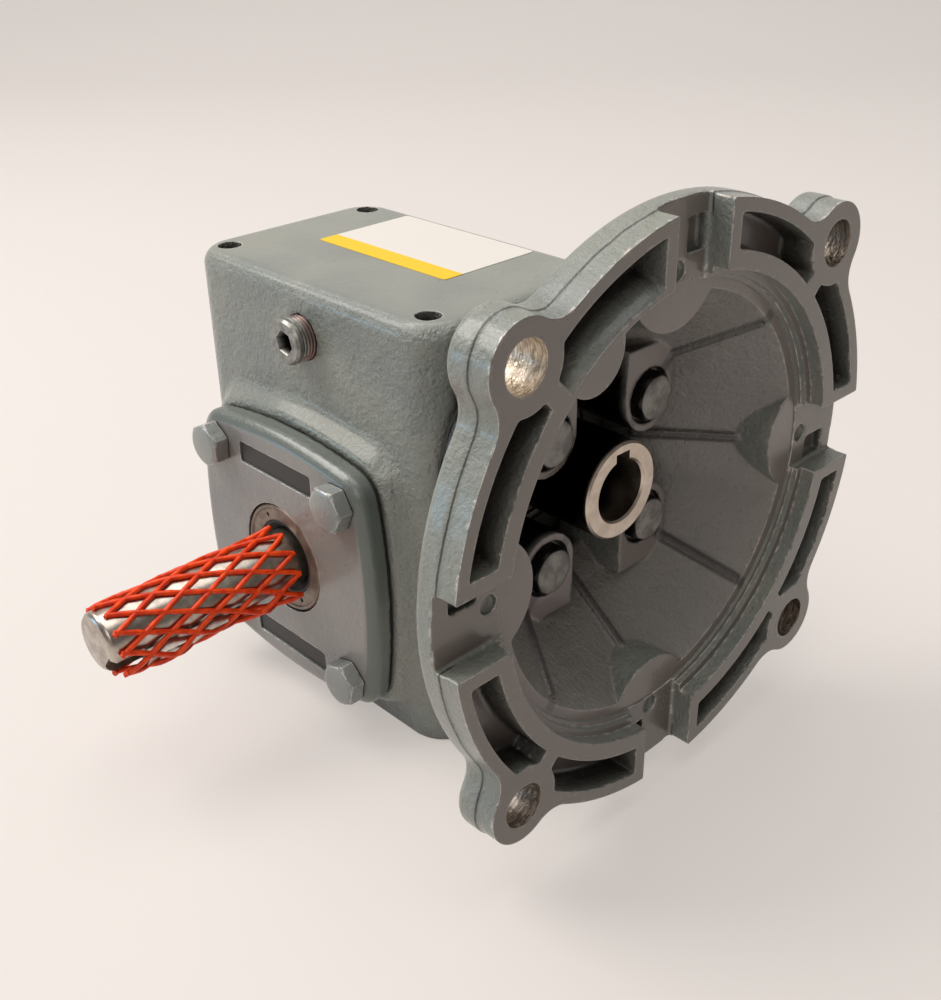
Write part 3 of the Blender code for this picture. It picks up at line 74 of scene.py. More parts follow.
# Gearcase: a block of grey iron cast in sand, bored through both ways, faced flat on top and sprayed
# all over with one coat of grey enamel. The sand's grain shows on its sides and not on the faced top.
HOUSING_HALF = (32.5, 49.5)
HOUSING_HEIGHT = 120.0
HOUSING_CORNER = 11.0
TOP_ROUND = 4.5
OUTPUT_HEIGHT = 45.6
INPUT_HEIGHT = 79.4
PAD_FACE = 37.0
COVER_HALF = 37.4
COVER_CORNER = 8.5
COVER_BOLT = 26.5
CAVITY_HALF = (26.0, 30.5)
GAP = 0.3
BOLT_HOLE = 3.4
TAPPED_HOLE = 3.3
TAPPED_SPOT = (24.5, 40.5)
PLUG_SPOT = (0.0, -1.0, 106.4)
PLUG_RADIUS = 6.0
BELL_BOLT_SPOT = (18.0, 17.0)

ALONG_Y = Matrix.Rotation(-math.pi / 2, 4, "X")
TO_LEFT = Matrix.Rotation(-math.pi / 2, 4, "Y")
TO_RIGHT = Matrix.Rotation(math.pi / 2, 4, "Y")
UPRIGHT = Matrix.Identity(4)
OUTPUT_CENTRE = (0.0, 0.0, OUTPUT_HEIGHT)
INPUT_CENTRE = (0.0, 0.0, INPUT_HEIGHT)


def colour(hex_code):
    """An sRGB hex value as linear red, green, blue and alpha."""
    channels = [int(hex_code[i:i + 2], 16) / 255 for i in (1, 3, 5)]
    return (*[c / 12.92 if c <= 0.04045 else ((c + 0.055) / 1.055) ** 2.4 for c in channels], 1.0)


def add_node(material, kind, inputs=None, output=None, **settings):
    """Adds a node with its settings and links, and gives its output of that name, or else its first in use.

    An input's value is a number, a colour or another node's output.
    """
    tree = material.node_tree
    node = tree.nodes.new(kind)
    for key, value in settings.items():
        setattr(node, key, value)
    for key, value in (inputs or {}).items():
        if isinstance(value, bpy.types.NodeSocket):
            tree.links.new(value, node.inputs[key])
        else:
            node.inputs[key].default_value = value
    if output:
        return node.outputs[output]
    return next(socket for socket in node.outputs if socket.enabled)


def new_finish(name, base, roughness, metallic=0.0):
    """A material of one even colour, which its section then gives a pattern."""
    material = bpy.data.materials.new(name)
    material.use_nodes = True
    shader = material.node_tree.nodes["Principled BSDF"]
    shader.inputs["Base Color"].default_value = colour(base)
    shader.inputs["Roughness"].default_value = roughness
    shader.inputs["Metallic"].default_value = metallic
    return material, shader


def enamel_finish(name, base, grain_depth, faced=None):
    """Satin enamel sprayed on a casting, whose grain shows below it, but hardly where it was faced flat."""
    material, shader = new_finish(name, base, 0.4)
    place = add_node(material, "ShaderNodeTexCoord", output="Object")
    # Cast sand leaves a grain of about 0.6 mm, drawn at 1.1 mm so that it shows, on swells of 6 mm.
    sand = add_node(material, "ShaderNodeTexNoise", {
        "Vector": place, "Scale": 1 / (1.1 * MM), "Detail": 4.0, "Roughness": 0.6,
    })
    swell = add_node(material, "ShaderNodeTexNoise", {
        "Vector": place, "Scale": 1 / (6.0 * MM), "Detail": 2.0, "Roughness": 0.5,
    })
    height = add_node(material, "ShaderNodeMath", {0: sand, 1: 0.6, 2: swell}, operation="MULTIPLY_ADD")
    strength = 1.0
    if faced:
        normal = add_node(material, "ShaderNodeTexCoord", output="Normal")
        facing = add_node(material, "ShaderNodeVectorMath", {0: normal, 1: faced}, operation="DOT_PRODUCT")
        strength = add_node(material, "ShaderNodeMapRange", {
            "Value": facing, "From Min": 0.8, "From Max": 0.97, "To Min": 1.0, "To Max": 0.12,
        })
    rounded = add_node(material, "ShaderNodeBevel", {"Radius": 0.6 * MM}, samples=4)
    bump = add_node(material, "ShaderNodeBump", {
        "Strength": strength, "Distance": grain_depth * MM, "Height": height, "Normal": rounded,
    })
    material.node_tree.links.new(bump, shader.inputs["Normal"])
    # The spray leaves clouds about 24 mm across, and dirt settles on it in specks of 1.6 mm.
    clouds = add_node(material, "ShaderNodeTexNoise", {
        "Vector": place, "Scale": 1 / (24.0 * MM), "Detail": 3.0, "Roughness": 0.5,
    })
    clouds = add_node(material, "ShaderNodeMapRange", {
        "Value": clouds, "From Min": 0.3, "From Max": 0.7,
    }, interpolation_type="SMOOTHSTEP")
    red, green, blue, _ = colour(base)
    pale = (red * 1.12, green * 1.1, blue * 1.06, 1.0)
    deep = (red * 0.88, green * 0.9, blue * 0.94, 1.0)
    coat = add_node(material, "ShaderNodeMix", {0: clouds, 6: deep, 7: pale}, data_type="RGBA")
    specks = add_node(material, "ShaderNodeTexNoise", {
        "Vector": place, "Scale": 1 / (1.6 * MM), "Detail": 2.0, "Roughness": 0.5,
    })
    specks = add_node(material, "ShaderNodeMapRange", {
        "Value": specks, "From Min": 0.68, "From Max": 0.76, "To Max": 0.45,
    }, interpolation_type="SMOOTHSTEP")
    # Holes and corners within 16 mm of a wall are painted brown-black, as painted shade.
    open_ground = add_node(material, "ShaderNodeAmbientOcclusion", {"Distance": 16.0 * MM}, "AO", samples=8)
    painted_recess_shade = add_node(material, "ShaderNodeMapRange", {
        "Value": open_ground, "From Min": 0.1, "From Max": 0.7, "To Min": 1.0, "To Max": 0.0,
    }, interpolation_type="SMOOTHSTEP")
    # Knocks chip the paint along the sharp edges, down to bright metal.
    surface = add_node(material, "ShaderNodeNewGeometry", output="Normal")
    flatness = add_node(material, "ShaderNodeVectorMath", {0: rounded, 1: surface}, operation="DOT_PRODUCT")
    edge = add_node(material, "ShaderNodeMapRange", {
        "Value": flatness, "From Min": 0.86, "From Max": 0.99, "To Min": 1.0, "To Max": 0.0,
    }, interpolation_type="SMOOTHSTEP")
    pointiness = add_node(material, "ShaderNodeNewGeometry", output="Pointiness")
    outer_corner = add_node(material, "ShaderNodeMapRange", {
        "Value": pointiness, "From Min": 0.49, "From Max": 0.52,
    }, interpolation_type="SMOOTHSTEP")
    patches = add_node(material, "ShaderNodeTexNoise", {
        "Vector": place, "Scale": 1 / (3.0 * MM), "Detail": 5.0, "Roughness": 0.7,
    })
    patches = add_node(material, "ShaderNodeMapRange", {
        "Value": patches, "From Min": 0.4, "From Max": 0.5,
    }, interpolation_type="SMOOTHSTEP")
    chipped = add_node(material, "ShaderNodeMath", {0: edge, 1: outer_corner}, operation="MULTIPLY")
    chipped = add_node(material, "ShaderNodeMath", {0: chipped, 1: patches}, operation="MULTIPLY")
    for share, tone in ((specks, "#3f403c"), (painted_recess_shade, "#2b2622"), (chipped, "#ebe6dd")):
        coat = add_node(material, "ShaderNodeMix", {0: share, 6: coat, 7: colour(tone)}, data_type="RGBA")
    material.node_tree.links.new(coat, shader.inputs["Base Color"])
    metal_share = add_node(material, "ShaderNodeMath", {0: chipped, 1: 0.225}, operation="MULTIPLY")
    material.node_tree.links.new(metal_share, shader.inputs["Metallic"])
    dullness = add_node(material, "ShaderNodeMath", {0: swell, 1: 0.16, 2: 0.22}, operation="MULTIPLY_ADD")
    material.node_tree.links.new(dullness, shader.inputs["Roughness"])
    shader.inputs["Coat Weight"].default_value = 0.4
    shader.inputs["Coat Roughness"].default_value = 0.16
    return material


def revolve(bm, profile, sides, centre=(0.0, 0.0)):
    """Spins a closed outline of (radius, height) points about the local Z axis."""
    rings = []
    for radius, height in profile:
        if radius < 1e-6:
            rings.append([bm.verts.new((centre[0], centre[1], height))] * sides)
            continue
        rings.append([
            bm.verts.new((
                centre[0] + radius * math.cos(math.tau * i / sides),
                centre[1] + radius * math.sin(math.tau * i / sides),
                height,
            ))
            for i in range(sides)
        ])
    for ring, following in zip(rings, rings[1:] + rings[:1]):
        for i in range(sides):
            j = (i + 1) % sides
            corners = list(dict.fromkeys((ring[i], ring[j], following[j], following[i])))
            if len(corners) > 2:
                bm.faces.new(corners)


def loft(bm, rings):
    """Skins closed rings of equally many points, and closes both ends."""
    loops = [[bm.verts.new(point) for point in ring] for ring in rings]
    count = len(loops[0])
    for lower, upper in zip(loops, loops[1:]):
        for i in range(count):
            bm.faces.new((lower[i], lower[(i + 1) % count], upper[(i + 1) % count], upper[i]))
    bm.faces.new(loops[0])
    bm.faces.new(loops[-1])


def prism(bm, outline, start, end):
    loft(bm, [[(x, y, z) for x, y in outline] for z in (start, end)])


def rod(bm, radius, start, end, sides, centre=(0.0, 0.0)):
    revolve(bm, [(0, start), (radius, start), (radius, end), (0, end)], sides, centre)


def arc(centre, radius, start, end, steps):
    return [
        (
            centre[0] + radius * math.cos(start + (end - start) * i / steps),
            centre[1] + radius * math.sin(start + (end - start) * i / steps),
        )
        for i in range(steps + 1)
    ]


def turn(points, angle):
    c, s = math.cos(angle), math.sin(angle)
    return [(c * x - s * y, s * x + c * y) for x, y in points]


def corners_of(spot):
    return [(sx * spot[0], sy * spot[1]) for sx in (-1, 1) for sy in (-1, 1)]


def at_height(points, height):
    return [(x, y, height) for x, y in points]


def new_piece(name, bm, finish=None, place=UPRIGHT, centre=(0.0, 0.0, 0.0)):
    """Makes an object of a mesh drawn in local millimetres, put in its place in metres."""
    bmesh.ops.recalc_face_normals(bm, faces=bm.faces)
    bmesh.ops.triangulate(bm, faces=bm.faces)
    mesh = bpy.data.meshes.new(name)
    bm.to_mesh(mesh)
    bm.free()
    mesh.transform(Matrix.Scale(MM, 4) @ Matrix.Translation(centre) @ place)
    piece = bpy.data.objects.new(name, mesh)
    bpy.context.scene.collection.objects.link(piece)
    if finish:
        mesh.materials.append(finish)
    return piece


def settle(piece):
    """Turns a piece with its modifiers into one plain mesh."""
    bpy.context.view_layer.update()
    graph = bpy.context.evaluated_depsgraph_get()
    mesh = bpy.data.meshes.new_from_object(piece.evaluated_get(graph))
    piece.modifiers.clear()
    old = piece.data
    piece.data = mesh
    bpy.data.meshes.remove(old)


def combine(piece, tool, operation):
    """Adds a solid to a piece, or cuts it away."""
    modifier = piece.modifiers.new("combine", "BOOLEAN")
    modifier.operation = operation
    modifier.object = tool
    modifier.solver = "MANIFOLD"
    settle(piece)
    bpy.data.objects.remove(tool)


def cast(piece, voxel, passes):
    """Gives a solid the soft edges of a casting: it is cut into small voxels and smoothed."""
    remesh = piece.modifiers.new("remesh", "REMESH")
    remesh.mode = "VOXEL"
    remesh.voxel_size = voxel * MM
    smooth = piece.modifiers.new("smooth", "SMOOTH")
    smooth.factor = 0.5
    smooth.iterations = passes
    settle(piece)


def thin_out(piece, kept):
    thin = piece.modifiers.new("thin", "DECIMATE")
    thin.ratio = kept
    settle(piece)


def shade(piece, finish, angle=38):
    piece.data.materials.clear()
    piece.data.materials.append(finish)
    piece.data.shade_smooth()
    piece.data.set_sharp_from_angle(angle=math.radians(angle))


def cover_outline(offset=0.0, side_steps=14, corner_steps=8):
    """The covers' outline: four bowed sides, and corners rounded about the bolts."""
    corner = COVER_CORNER + offset
    half = COVER_HALF + offset
    bow = (corner**2 - COVER_BOLT**2 - (COVER_BOLT - half) ** 2) / (2 * (COVER_BOLT - half + corner))
    lean = math.atan2(COVER_BOLT, COVER_BOLT - half + bow)
    quarter = arc((half - bow, 0), bow, -lean, lean, side_steps)
    quarter += arc((COVER_BOLT, COVER_BOLT), corner, lean, math.pi / 2 - lean, corner_steps)[1:-1]
    return [point for i in range(4) for point in turn(quarter, i * math.pi / 2)]


def rounded_block(half_x, half_y, corner, steps=10):
    points = []
    for turns, (sx, sy) in enumerate(((1, 1), (-1, 1), (-1, -1), (1, -1))):
        centre = (sx * (half_x - corner), sy * (half_y - corner))
        points += arc(centre, corner, turns * math.pi / 2, (turns + 1) * math.pi / 2, steps)
    return points


ENAMEL = "#7b7f79"
housing_enamel = enamel_finish("sand_cast_iron_in_grey_enamel", ENAMEL, 1.5, faced=(0, 0, 1))

bm = bmesh.new()
levels = []
for i in range(4):
    angle = math.pi / 2 * i / 3
    levels.append((1.2 * (1 - math.sin(angle)), 1.2 * (1 - math.cos(angle))))
for i in range(9):
    angle = math.pi / 2 * i / 8
    levels.append((TOP_ROUND * (1 - math.cos(angle)), HOUSING_HEIGHT - TOP_ROUND * (1 - math.sin(angle))))
rings = []
for inset, height in levels:
    outline = rounded_block(HOUSING_HALF[0] - inset, HOUSING_HALF[1] - inset, HOUSING_CORNER - inset)
    rings.append(at_height(outline, height))
loft(bm, rings)
housing = new_piece("gearcase_casting", bm)
for place in (TO_LEFT, TO_RIGHT):
    bm = bmesh.new()
    pad = [(5.2, -3.0), (5.2, 0.1), (4.2, 0.9), (3.0, 2.4), (2.1, 3.6), (1.7, 4.1), (1.0, 4.5)]
    loft(bm, [at_height(cover_outline(out), HOUSING_HALF[0] + up) for out, up in pad])
    combine(housing, new_piece("pad", bm, None, place, OUTPUT_CENTRE), "UNION")
bm = bmesh.new()
prism(bm, rounded_block(*CAVITY_HALF, 6.0, 3), 8.0, HOUSING_HEIGHT - 8.0)
combine(housing, new_piece("cavity", bm), "DIFFERENCE")
cast(housing, voxel=0.7, passes=3)
bm = bmesh.new()
rod(bm, 30.0, -PAD_FACE - 1, PAD_FACE + 1, 72)
combine(housing, new_piece("side_bore", bm, None, TO_LEFT, OUTPUT_CENTRE), "DIFFERENCE")
bm = bmesh.new()
revolve(bm, [
    (0, -50.5), (18.5, -50.5), (18.5, -34.0), (16.0, -34.0), (16.0, -29.5), (0, -29.5),
], 72)
combine(housing, new_piece("worm_bore", bm, None, ALONG_Y, INPUT_CENTRE), "DIFFERENCE")
bm = bmesh.new()
revolve(bm, [(0, 29.5), (17.5, 29.5), (17.5, 42.1), (13.5, 42.1), (13.5, 45.1), (0, 45.1)], 48)
combine(housing, new_piece("rear_pocket", bm, None, ALONG_Y, INPUT_CENTRE), "DIFFERENCE")
bm = bmesh.new()
for spot in corners_of(TAPPED_SPOT):
    rod(bm, TAPPED_HOLE, -1, 14, 24, spot)
    rod(bm, TAPPED_HOLE, HOUSING_HEIGHT - 14, HOUSING_HEIGHT + 1, 24, spot)
combine(housing, new_piece("tapped_holes", bm), "DIFFERENCE")
bm = bmesh.new()
rod(bm, PLUG_RADIUS + 0.2, 25, 34, 32)
rod(bm, PLUG_RADIUS + 0.2, -34, -25, 32)
combine(housing, new_piece("plug_holes", bm, None, TO_LEFT, PLUG_SPOT), "DIFFERENCE")
bm = bmesh.new()
for spot in corners_of((COVER_BOLT, COVER_BOLT)):
    rod(bm, BOLT_HOLE, 28.5, PAD_FACE + 1, 16, spot)
    rod(bm, BOLT_HOLE, -PAD_FACE - 1, -28.5, 16, spot)
combine(housing, new_piece("cover_bolt_holes", bm, None, TO_LEFT, OUTPUT_CENTRE), "DIFFERENCE")
bm = bmesh.new()
for spot in corners_of(BELL_BOLT_SPOT):
    rod(bm, BOLT_HOLE, -50.5, -37.2, 16, spot)
combine(housing, new_piece("bell_bolt_holes", bm, None, ALONG_Y, INPUT_CENTRE), "DIFFERENCE")
thin_out(housing, kept=0.35)
shade(housing, housing_enamel)
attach(housing, "gearcase")
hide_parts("housing")


# Motor flange: a bell cast in aluminium, whose cored rim carries the motor's four bolts and whose cone
# is bolted to the gearcase from inside. It is painted with the same enamel, chipped along its edges.
FLANGE_FACE = -99.0
FLANGE_CENTRE = (0.0, FLANGE_FACE, INPUT_HEIGHT)
FLANGE_RADIUS = 73.0
FLANGE_THICKNESS = 11.5
PILOT_RADIUS = 57.15
RIM_WIDTH = 4.3
OUTER_WALL = 3.5
POCKET_DEPTH = 9.0
EAR_OFFSET = 52.76
EAR_RADIUS = 10.2
EAR_HOLE = 5.6
EAR_NECK = 8.0
NOTCH_WIDTH = 18.4
NOTCH_DEPTH = 6.2
NOTCH_WALL = 3.3
WEB_HALF = 2.5
CONE_MOUTH = (53.0, 5.0)
CONE_THROAT = (27.0, 39.0)
CONE_WALL = 4.6
BELL_DEPTH = 48.1
BOSS_TOP = 25.6
BOLT_SEAT = 27.8
BOSS_RADIUS = 9.3
BOSS_REACH = 13.5
HEAD_POCKET = 7.3
LOBE_CENTRE = 58.5
LOBE_RADIUS = 15.0
TAB_CENTRE = 60.0
TAB_RADIUS = 9.1
TAB_TURN = math.radians(-124)
DIMPLE = 57.0


def flange_outline(offset=0.0):
    """The rim seen from the motor: a round plate with four ears on concave necks."""
    plate = FLANGE_RADIUS + offset
    ear = EAR_RADIUS + offset
    neck = EAR_NECK - offset
    far = EAR_OFFSET * math.sqrt(2)
    to_neck = plate + neck
    to_ear = ear + neck
    neck_angle = math.acos((far**2 + to_neck**2 - to_ear**2) / (2 * far * to_neck))
    ear_angle = math.acos((far**2 + to_ear**2 - to_neck**2) / (2 * far * to_ear))
    neck_spot = (to_neck * math.cos(neck_angle), -to_neck * math.sin(neck_angle))
    lower = arc(neck_spot, neck, math.pi - neck_angle, ear_angle, 8)
    upper = [(x, -y) for x, y in reversed(lower)]
    quarter = arc((0, 0), plate, neck_angle - math.pi / 2, -neck_angle, 26)
    quarter += lower[1:]
    quarter += arc((far, 0), ear, ear_angle - math.pi, math.pi - ear_angle, 24)[1:]
    quarter += upper[1:-1]
    return [point for i in range(4) for point in turn(quarter, math.pi / 4 + i * math.pi / 2)]


def rim_pocket(ring_wall=RIM_WIDTH):
    """A cored pocket between a notch and the web of an ear, which lies on the X axis here."""
    inner = PILOT_RADIUS + ring_wall
    outer = FLANGE_RADIUS - OUTER_WALL
    wall = NOTCH_WIDTH / 2 + NOTCH_WALL
    far = EAR_OFFSET * math.sqrt(2)
    meeting = (outer**2 + far**2 - EAR_RADIUS**2) / (2 * far)
    rise = math.sqrt(outer**2 - meeting**2)
    web_angle = math.pi + math.asin(WEB_HALF / EAR_RADIUS)
    rim_angle = math.pi + math.atan2(rise, far - meeting)
    points = arc((0, 0), inner, math.asin(wall / inner) - math.pi / 4, -math.asin(WEB_HALF / inner), 16)
    points += arc((far, 0), EAR_RADIUS, web_angle, rim_angle, 8)
    points += arc((0, 0), outer, -math.atan2(rise, meeting), math.asin(wall / outer) - math.pi / 4, 16)[1:]
    return points


def lens(big, centre, small, steps):
    cut = (big**2 + centre**2 - small**2) / (2 * centre)
    half_height = math.sqrt(big**2 - cut**2)
    start = math.atan2(half_height, cut - centre)
    points = arc((centre, 0), small, start, math.tau - start, steps)
    edge = math.atan2(half_height, cut)
    return points + arc((0, 0), big, -edge, edge, steps)[1:-1]


def millimetres_from(material, spot, fold=False):
    """How far a point lies from a spot beside the input axis, seen along it, or from the nearest of four."""
    place = add_node(material, "ShaderNodeTexCoord", output="Object")
    place = add_node(material, "ShaderNodeVectorMath", {
        0: place, 1: (0, 0, INPUT_HEIGHT * MM),
    }, operation="SUBTRACT")
    if fold:
        place = add_node(material, "ShaderNodeVectorMath", {0: place}, operation="ABSOLUTE")
    place = add_node(material, "ShaderNodeVectorMath", {
        0: place, 1: (1 / MM, 0, 1 / MM),
    }, operation="MULTIPLY")
    return add_node(material, "ShaderNodeVectorMath", {
        0: place, 1: (spot[0], 0, spot[1]),
    }, operation="DISTANCE")


# The bell's enamel starts as the gearcase's does. Its own wear, tints and painted shade lie over that.
bell_enamel = enamel_finish("cast_aluminium_in_grey_enamel", ENAMEL, 0.9, faced=(0, -1, 0))
bell_shader = bell_enamel.node_tree.nodes["Principled BSDF"]
bell_place = add_node(bell_enamel, "ShaderNodeTexCoord", output="Object")
bell_depth = add_node(bell_enamel, "ShaderNodeSeparateXYZ", {0: bell_place}, "Y")
bell_depth = add_node(bell_enamel, "ShaderNodeMath", {0: bell_depth, 1: 1 / MM}, operation="MULTIPLY")
bell_normal = add_node(bell_enamel, "ShaderNodeTexCoord", output="Normal")
facing_motor = add_node(bell_enamel, "ShaderNodeVectorMath", {
    0: bell_normal, 1: (0, -1, 0),
}, operation="DOT_PRODUCT")
off_axis = millimetres_from(bell_enamel, (0, 0))

# Wide knocks, of about 1.5 mm, lie here and there along the rim.
worn = add_node(bell_enamel, "ShaderNodeBevel", {"Radius": 1.5 * MM}, samples=4)
surface = add_node(bell_enamel, "ShaderNodeNewGeometry", output="Normal")
flatness = add_node(bell_enamel, "ShaderNodeVectorMath", {0: worn, 1: surface}, operation="DOT_PRODUCT")
knocked = add_node(bell_enamel, "ShaderNodeMapRange", {
    "Value": flatness, "From Min": 0.93, "From Max": 0.985, "To Min": 1.0, "To Max": 0.0,
}, interpolation_type="SMOOTHSTEP")
pointiness = add_node(bell_enamel, "ShaderNodeNewGeometry", output="Pointiness")
outer_corner = add_node(bell_enamel, "ShaderNodeMapRange", {
    "Value": pointiness, "From Min": 0.49, "From Max": 0.52,
}, interpolation_type="SMOOTHSTEP")
scattered = add_node(bell_enamel, "ShaderNodeTexNoise", {
    "Vector": bell_place, "Scale": 1 / (2.6 * MM), "Detail": 5.0, "Roughness": 0.7,
})
scattered = add_node(bell_enamel, "ShaderNodeMapRange", {
    "Value": scattered, "From Min": 0.54, "From Max": 0.6,
}, interpolation_type="SMOOTHSTEP")
knocked = add_node(bell_enamel, "ShaderNodeMath", {0: knocked, 1: outer_corner}, operation="MULTIPLY")
knocked = add_node(bell_enamel, "ShaderNodeMath", {0: knocked, 1: scattered}, operation="MULTIPLY")

# The faces turned to the motor are painted a darker brown-grey, as painted shade.
motor_face_shade = add_node(bell_enamel, "ShaderNodeMapRange", {
    "Value": facing_motor, "From Min": 0.85, "From Max": 0.98, "To Max": 0.75,
}, interpolation_type="SMOOTHSTEP")

# The mould's two halves meet in a thin dark line round the rim, which wanders by half a millimetre.
wander = add_node(bell_enamel, "ShaderNodeTexNoise", {
    "Vector": bell_place, "Scale": 1 / (9.0 * MM), "Detail": 2.0, "Roughness": 0.5,
})
from_parting = add_node(bell_enamel, "ShaderNodeMath", {
    0: wander, 1: 0.9, 2: bell_depth,
}, operation="MULTIPLY_ADD")
from_parting = add_node(bell_enamel, "ShaderNodeMath", {
    0: from_parting, 1: FLANGE_FACE + 5.8,
}, operation="SUBTRACT")
from_parting = add_node(bell_enamel, "ShaderNodeMath", {0: from_parting}, operation="ABSOLUTE")
parting_line = add_node(bell_enamel, "ShaderNodeMapRange", {
    "Value": from_parting, "From Min": 0.1, "From Max": 0.3, "To Min": 0.85, "To Max": 0.0,
}, interpolation_type="SMOOTHSTEP")
on_rim = add_node(bell_enamel, "ShaderNodeMapRange", {
    "Value": off_axis, "From Min": 67.0, "From Max": 69.5,
}, interpolation_type="SMOOTHSTEP")
parting_line = add_node(bell_enamel, "ShaderNodeMath", {0: parting_line, 1: on_rim}, operation="MULTIPLY")

# Painted shadow: the casting is painted black beside the shaft, above and to the left.
throat_shadow = add_node(bell_enamel, "ShaderNodeMapRange", {
    "Value": millimetres_from(bell_enamel, (-11, 9)),
    "From Min": 24.0, "From Max": 31.0, "To Min": 1.0, "To Max": 0.0,
}, interpolation_type="SMOOTHSTEP")
below_bosses = add_node(bell_enamel, "ShaderNodeMapRange", {
    "Value": bell_depth, "From Min": -73.4, "From Max": -71.0,
}, interpolation_type="SMOOTHSTEP")
throat_shadow = add_node(bell_enamel, "ShaderNodeMath", {0: throat_shadow, 1: below_bosses}, operation="MULTIPLY")

# The pockets of the screw heads are painted as black too, as painted shade.
head_pocket_shade = add_node(bell_enamel, "ShaderNodeMapRange", {
    "Value": millimetres_from(bell_enamel, BELL_BOLT_SPOT, fold=True),
    "From Min": HEAD_POCKET, "From Max": HEAD_POCKET + 0.3, "To Min": 1.0, "To Max": 0.0,
}, interpolation_type="SMOOTHSTEP")
in_boss = add_node(bell_enamel, "ShaderNodeMapRange", {
    "Value": bell_depth,
    "From Min": FLANGE_FACE + BOSS_TOP + 0.2, "From Max": FLANGE_FACE + BOSS_TOP + 0.8,
}, interpolation_type="SMOOTHSTEP")
head_pocket_shade = add_node(bell_enamel, "ShaderNodeMath", {0: head_pocket_shade, 1: in_boss}, operation="MULTIPLY")

# The inside of the cone has browned.
inside = add_node(bell_enamel, "ShaderNodeMapRange", {
    "Value": off_axis, "From Min": 53.0, "From Max": 55.0, "To Min": 1.0, "To Max": 0.0,
}, interpolation_type="SMOOTHSTEP")
behind_face = add_node(bell_enamel, "ShaderNodeMapRange", {
    "Value": bell_depth, "From Min": FLANGE_FACE + 5.0, "From Max": FLANGE_FACE + 7.0,
}, interpolation_type="SMOOTHSTEP")
turned_to_motor = add_node(bell_enamel, "ShaderNodeMapRange", {
    "Value": facing_motor, "From Min": 0.05, "From Max": 0.2,
}, interpolation_type="SMOOTHSTEP")
inside = add_node(bell_enamel, "ShaderNodeMath", {0: inside, 1: behind_face}, operation="MULTIPLY")
inside = add_node(bell_enamel, "ShaderNodeMath", {0: inside, 1: turned_to_motor}, operation="MULTIPLY")
browned = add_node(bell_enamel, "ShaderNodeMath", {0: inside, 1: 0.45}, operation="MULTIPLY")

# Painted shade lies in dark lines along its eight ribs, of which the upright and level ones end at the
# lobes.
folded = add_node(bell_enamel, "ShaderNodeVectorMath", {
    0: bell_place, 1: (0, 0, INPUT_HEIGHT * MM),
}, operation="SUBTRACT")
folded = add_node(bell_enamel, "ShaderNodeVectorMath", {0: folded}, operation="ABSOLUTE")
level = add_node(bell_enamel, "ShaderNodeSeparateXYZ", {0: folded}, "X")
upright = add_node(bell_enamel, "ShaderNodeSeparateXYZ", {0: folded}, "Z")
from_diagonal = add_node(bell_enamel, "ShaderNodeMath", {0: level, 1: upright}, operation="SUBTRACT")
from_diagonal = add_node(bell_enamel, "ShaderNodeMath", {0: from_diagonal}, operation="ABSOLUTE")
slanted_ribs = add_node(bell_enamel, "ShaderNodeMapRange", {
    "Value": from_diagonal, "To Min": 1.0, "To Max": 0.0,
    "From Min": 0.8 * MM * math.sqrt(2), "From Max": 2.2 * MM * math.sqrt(2),
}, interpolation_type="SMOOTHSTEP")
from_straight = add_node(bell_enamel, "ShaderNodeMath", {0: level, 1: upright}, operation="MINIMUM")
straight_ribs = add_node(bell_enamel, "ShaderNodeMapRange", {
    "Value": from_straight, "From Min": 0.8 * MM, "From Max": 2.2 * MM, "To Min": 1.0, "To Max": 0.0,
}, interpolation_type="SMOOTHSTEP")
before_lobes = add_node(bell_enamel, "ShaderNodeMapRange", {
    "Value": off_axis, "From Min": 42.5, "From Max": 43.5, "To Min": 1.0, "To Max": 0.0,
}, interpolation_type="SMOOTHSTEP")
straight_ribs = add_node(bell_enamel, "ShaderNodeMath", {
    0: straight_ribs, 1: before_lobes,
}, operation="MULTIPLY")
near_ribs = add_node(bell_enamel, "ShaderNodeMath", {
    0: slanted_ribs, 1: straight_ribs,
}, operation="MAXIMUM")
rib_shade = add_node(bell_enamel, "ShaderNodeMath", {0: near_ribs, 1: inside}, operation="MULTIPLY")
rib_shade = add_node(bell_enamel, "ShaderNodeMath", {0: rib_shade, 1: 0.7}, operation="MULTIPLY")

coat = bell_shader.inputs["Base Color"].links[0].from_socket
for share, tone in (
    (knocked, "#e3ddd4"), (motor_face_shade, "#62564f"), (parting_line, "#191816"), (throat_shadow, "#040404"),
    (head_pocket_shade, "#050505"), (browned, "#7c6f6b"), (rib_shade, "#141211"),
):
    coat = add_node(bell_enamel, "ShaderNodeMix", {0: share, 6: coat, 7: colour(tone)}, data_type="RGBA")

# The bolt holes in the ears are drilled after painting and stay bare. The one at the upper left is painted
# paler, as painted light. A drill leaves rings 0.2 mm apart, drawn at 0.5 mm so that they show.
drilled = add_node(bell_enamel, "ShaderNodeMapRange", {
    "Value": millimetres_from(bell_enamel, (EAR_OFFSET, EAR_OFFSET), fold=True),
    "From Min": EAR_HOLE + 0.05, "From Max": EAR_HOLE + 0.2, "To Min": 1.0, "To Max": 0.0,
}, interpolation_type="SMOOTHSTEP")
along_drill = add_node(bell_enamel, "ShaderNodeMapping", {"Vector": bell_place, "Scale": (0.15, 1.0, 0.15)})
rings = add_node(bell_enamel, "ShaderNodeTexNoise", {
    "Vector": along_drill, "Scale": 1 / (0.5 * MM), "Detail": 3.0, "Roughness": 0.7,
})
rings = add_node(bell_enamel, "ShaderNodeMapRange", {
    "Value": rings, "From Min": 0.35, "From Max": 0.65,
}, interpolation_type="SMOOTHSTEP")
drill_tone = add_node(bell_enamel, "ShaderNodeMix", {
    0: rings, 6: colour("#5b5048"), 7: colour("#a3978a"),
}, data_type="RGBA")
lit_hole_tone = add_node(bell_enamel, "ShaderNodeMix", {
    0: rings, 6: colour("#8f7f6c"), 7: colour("#e6d8c4"),
}, data_type="RGBA")
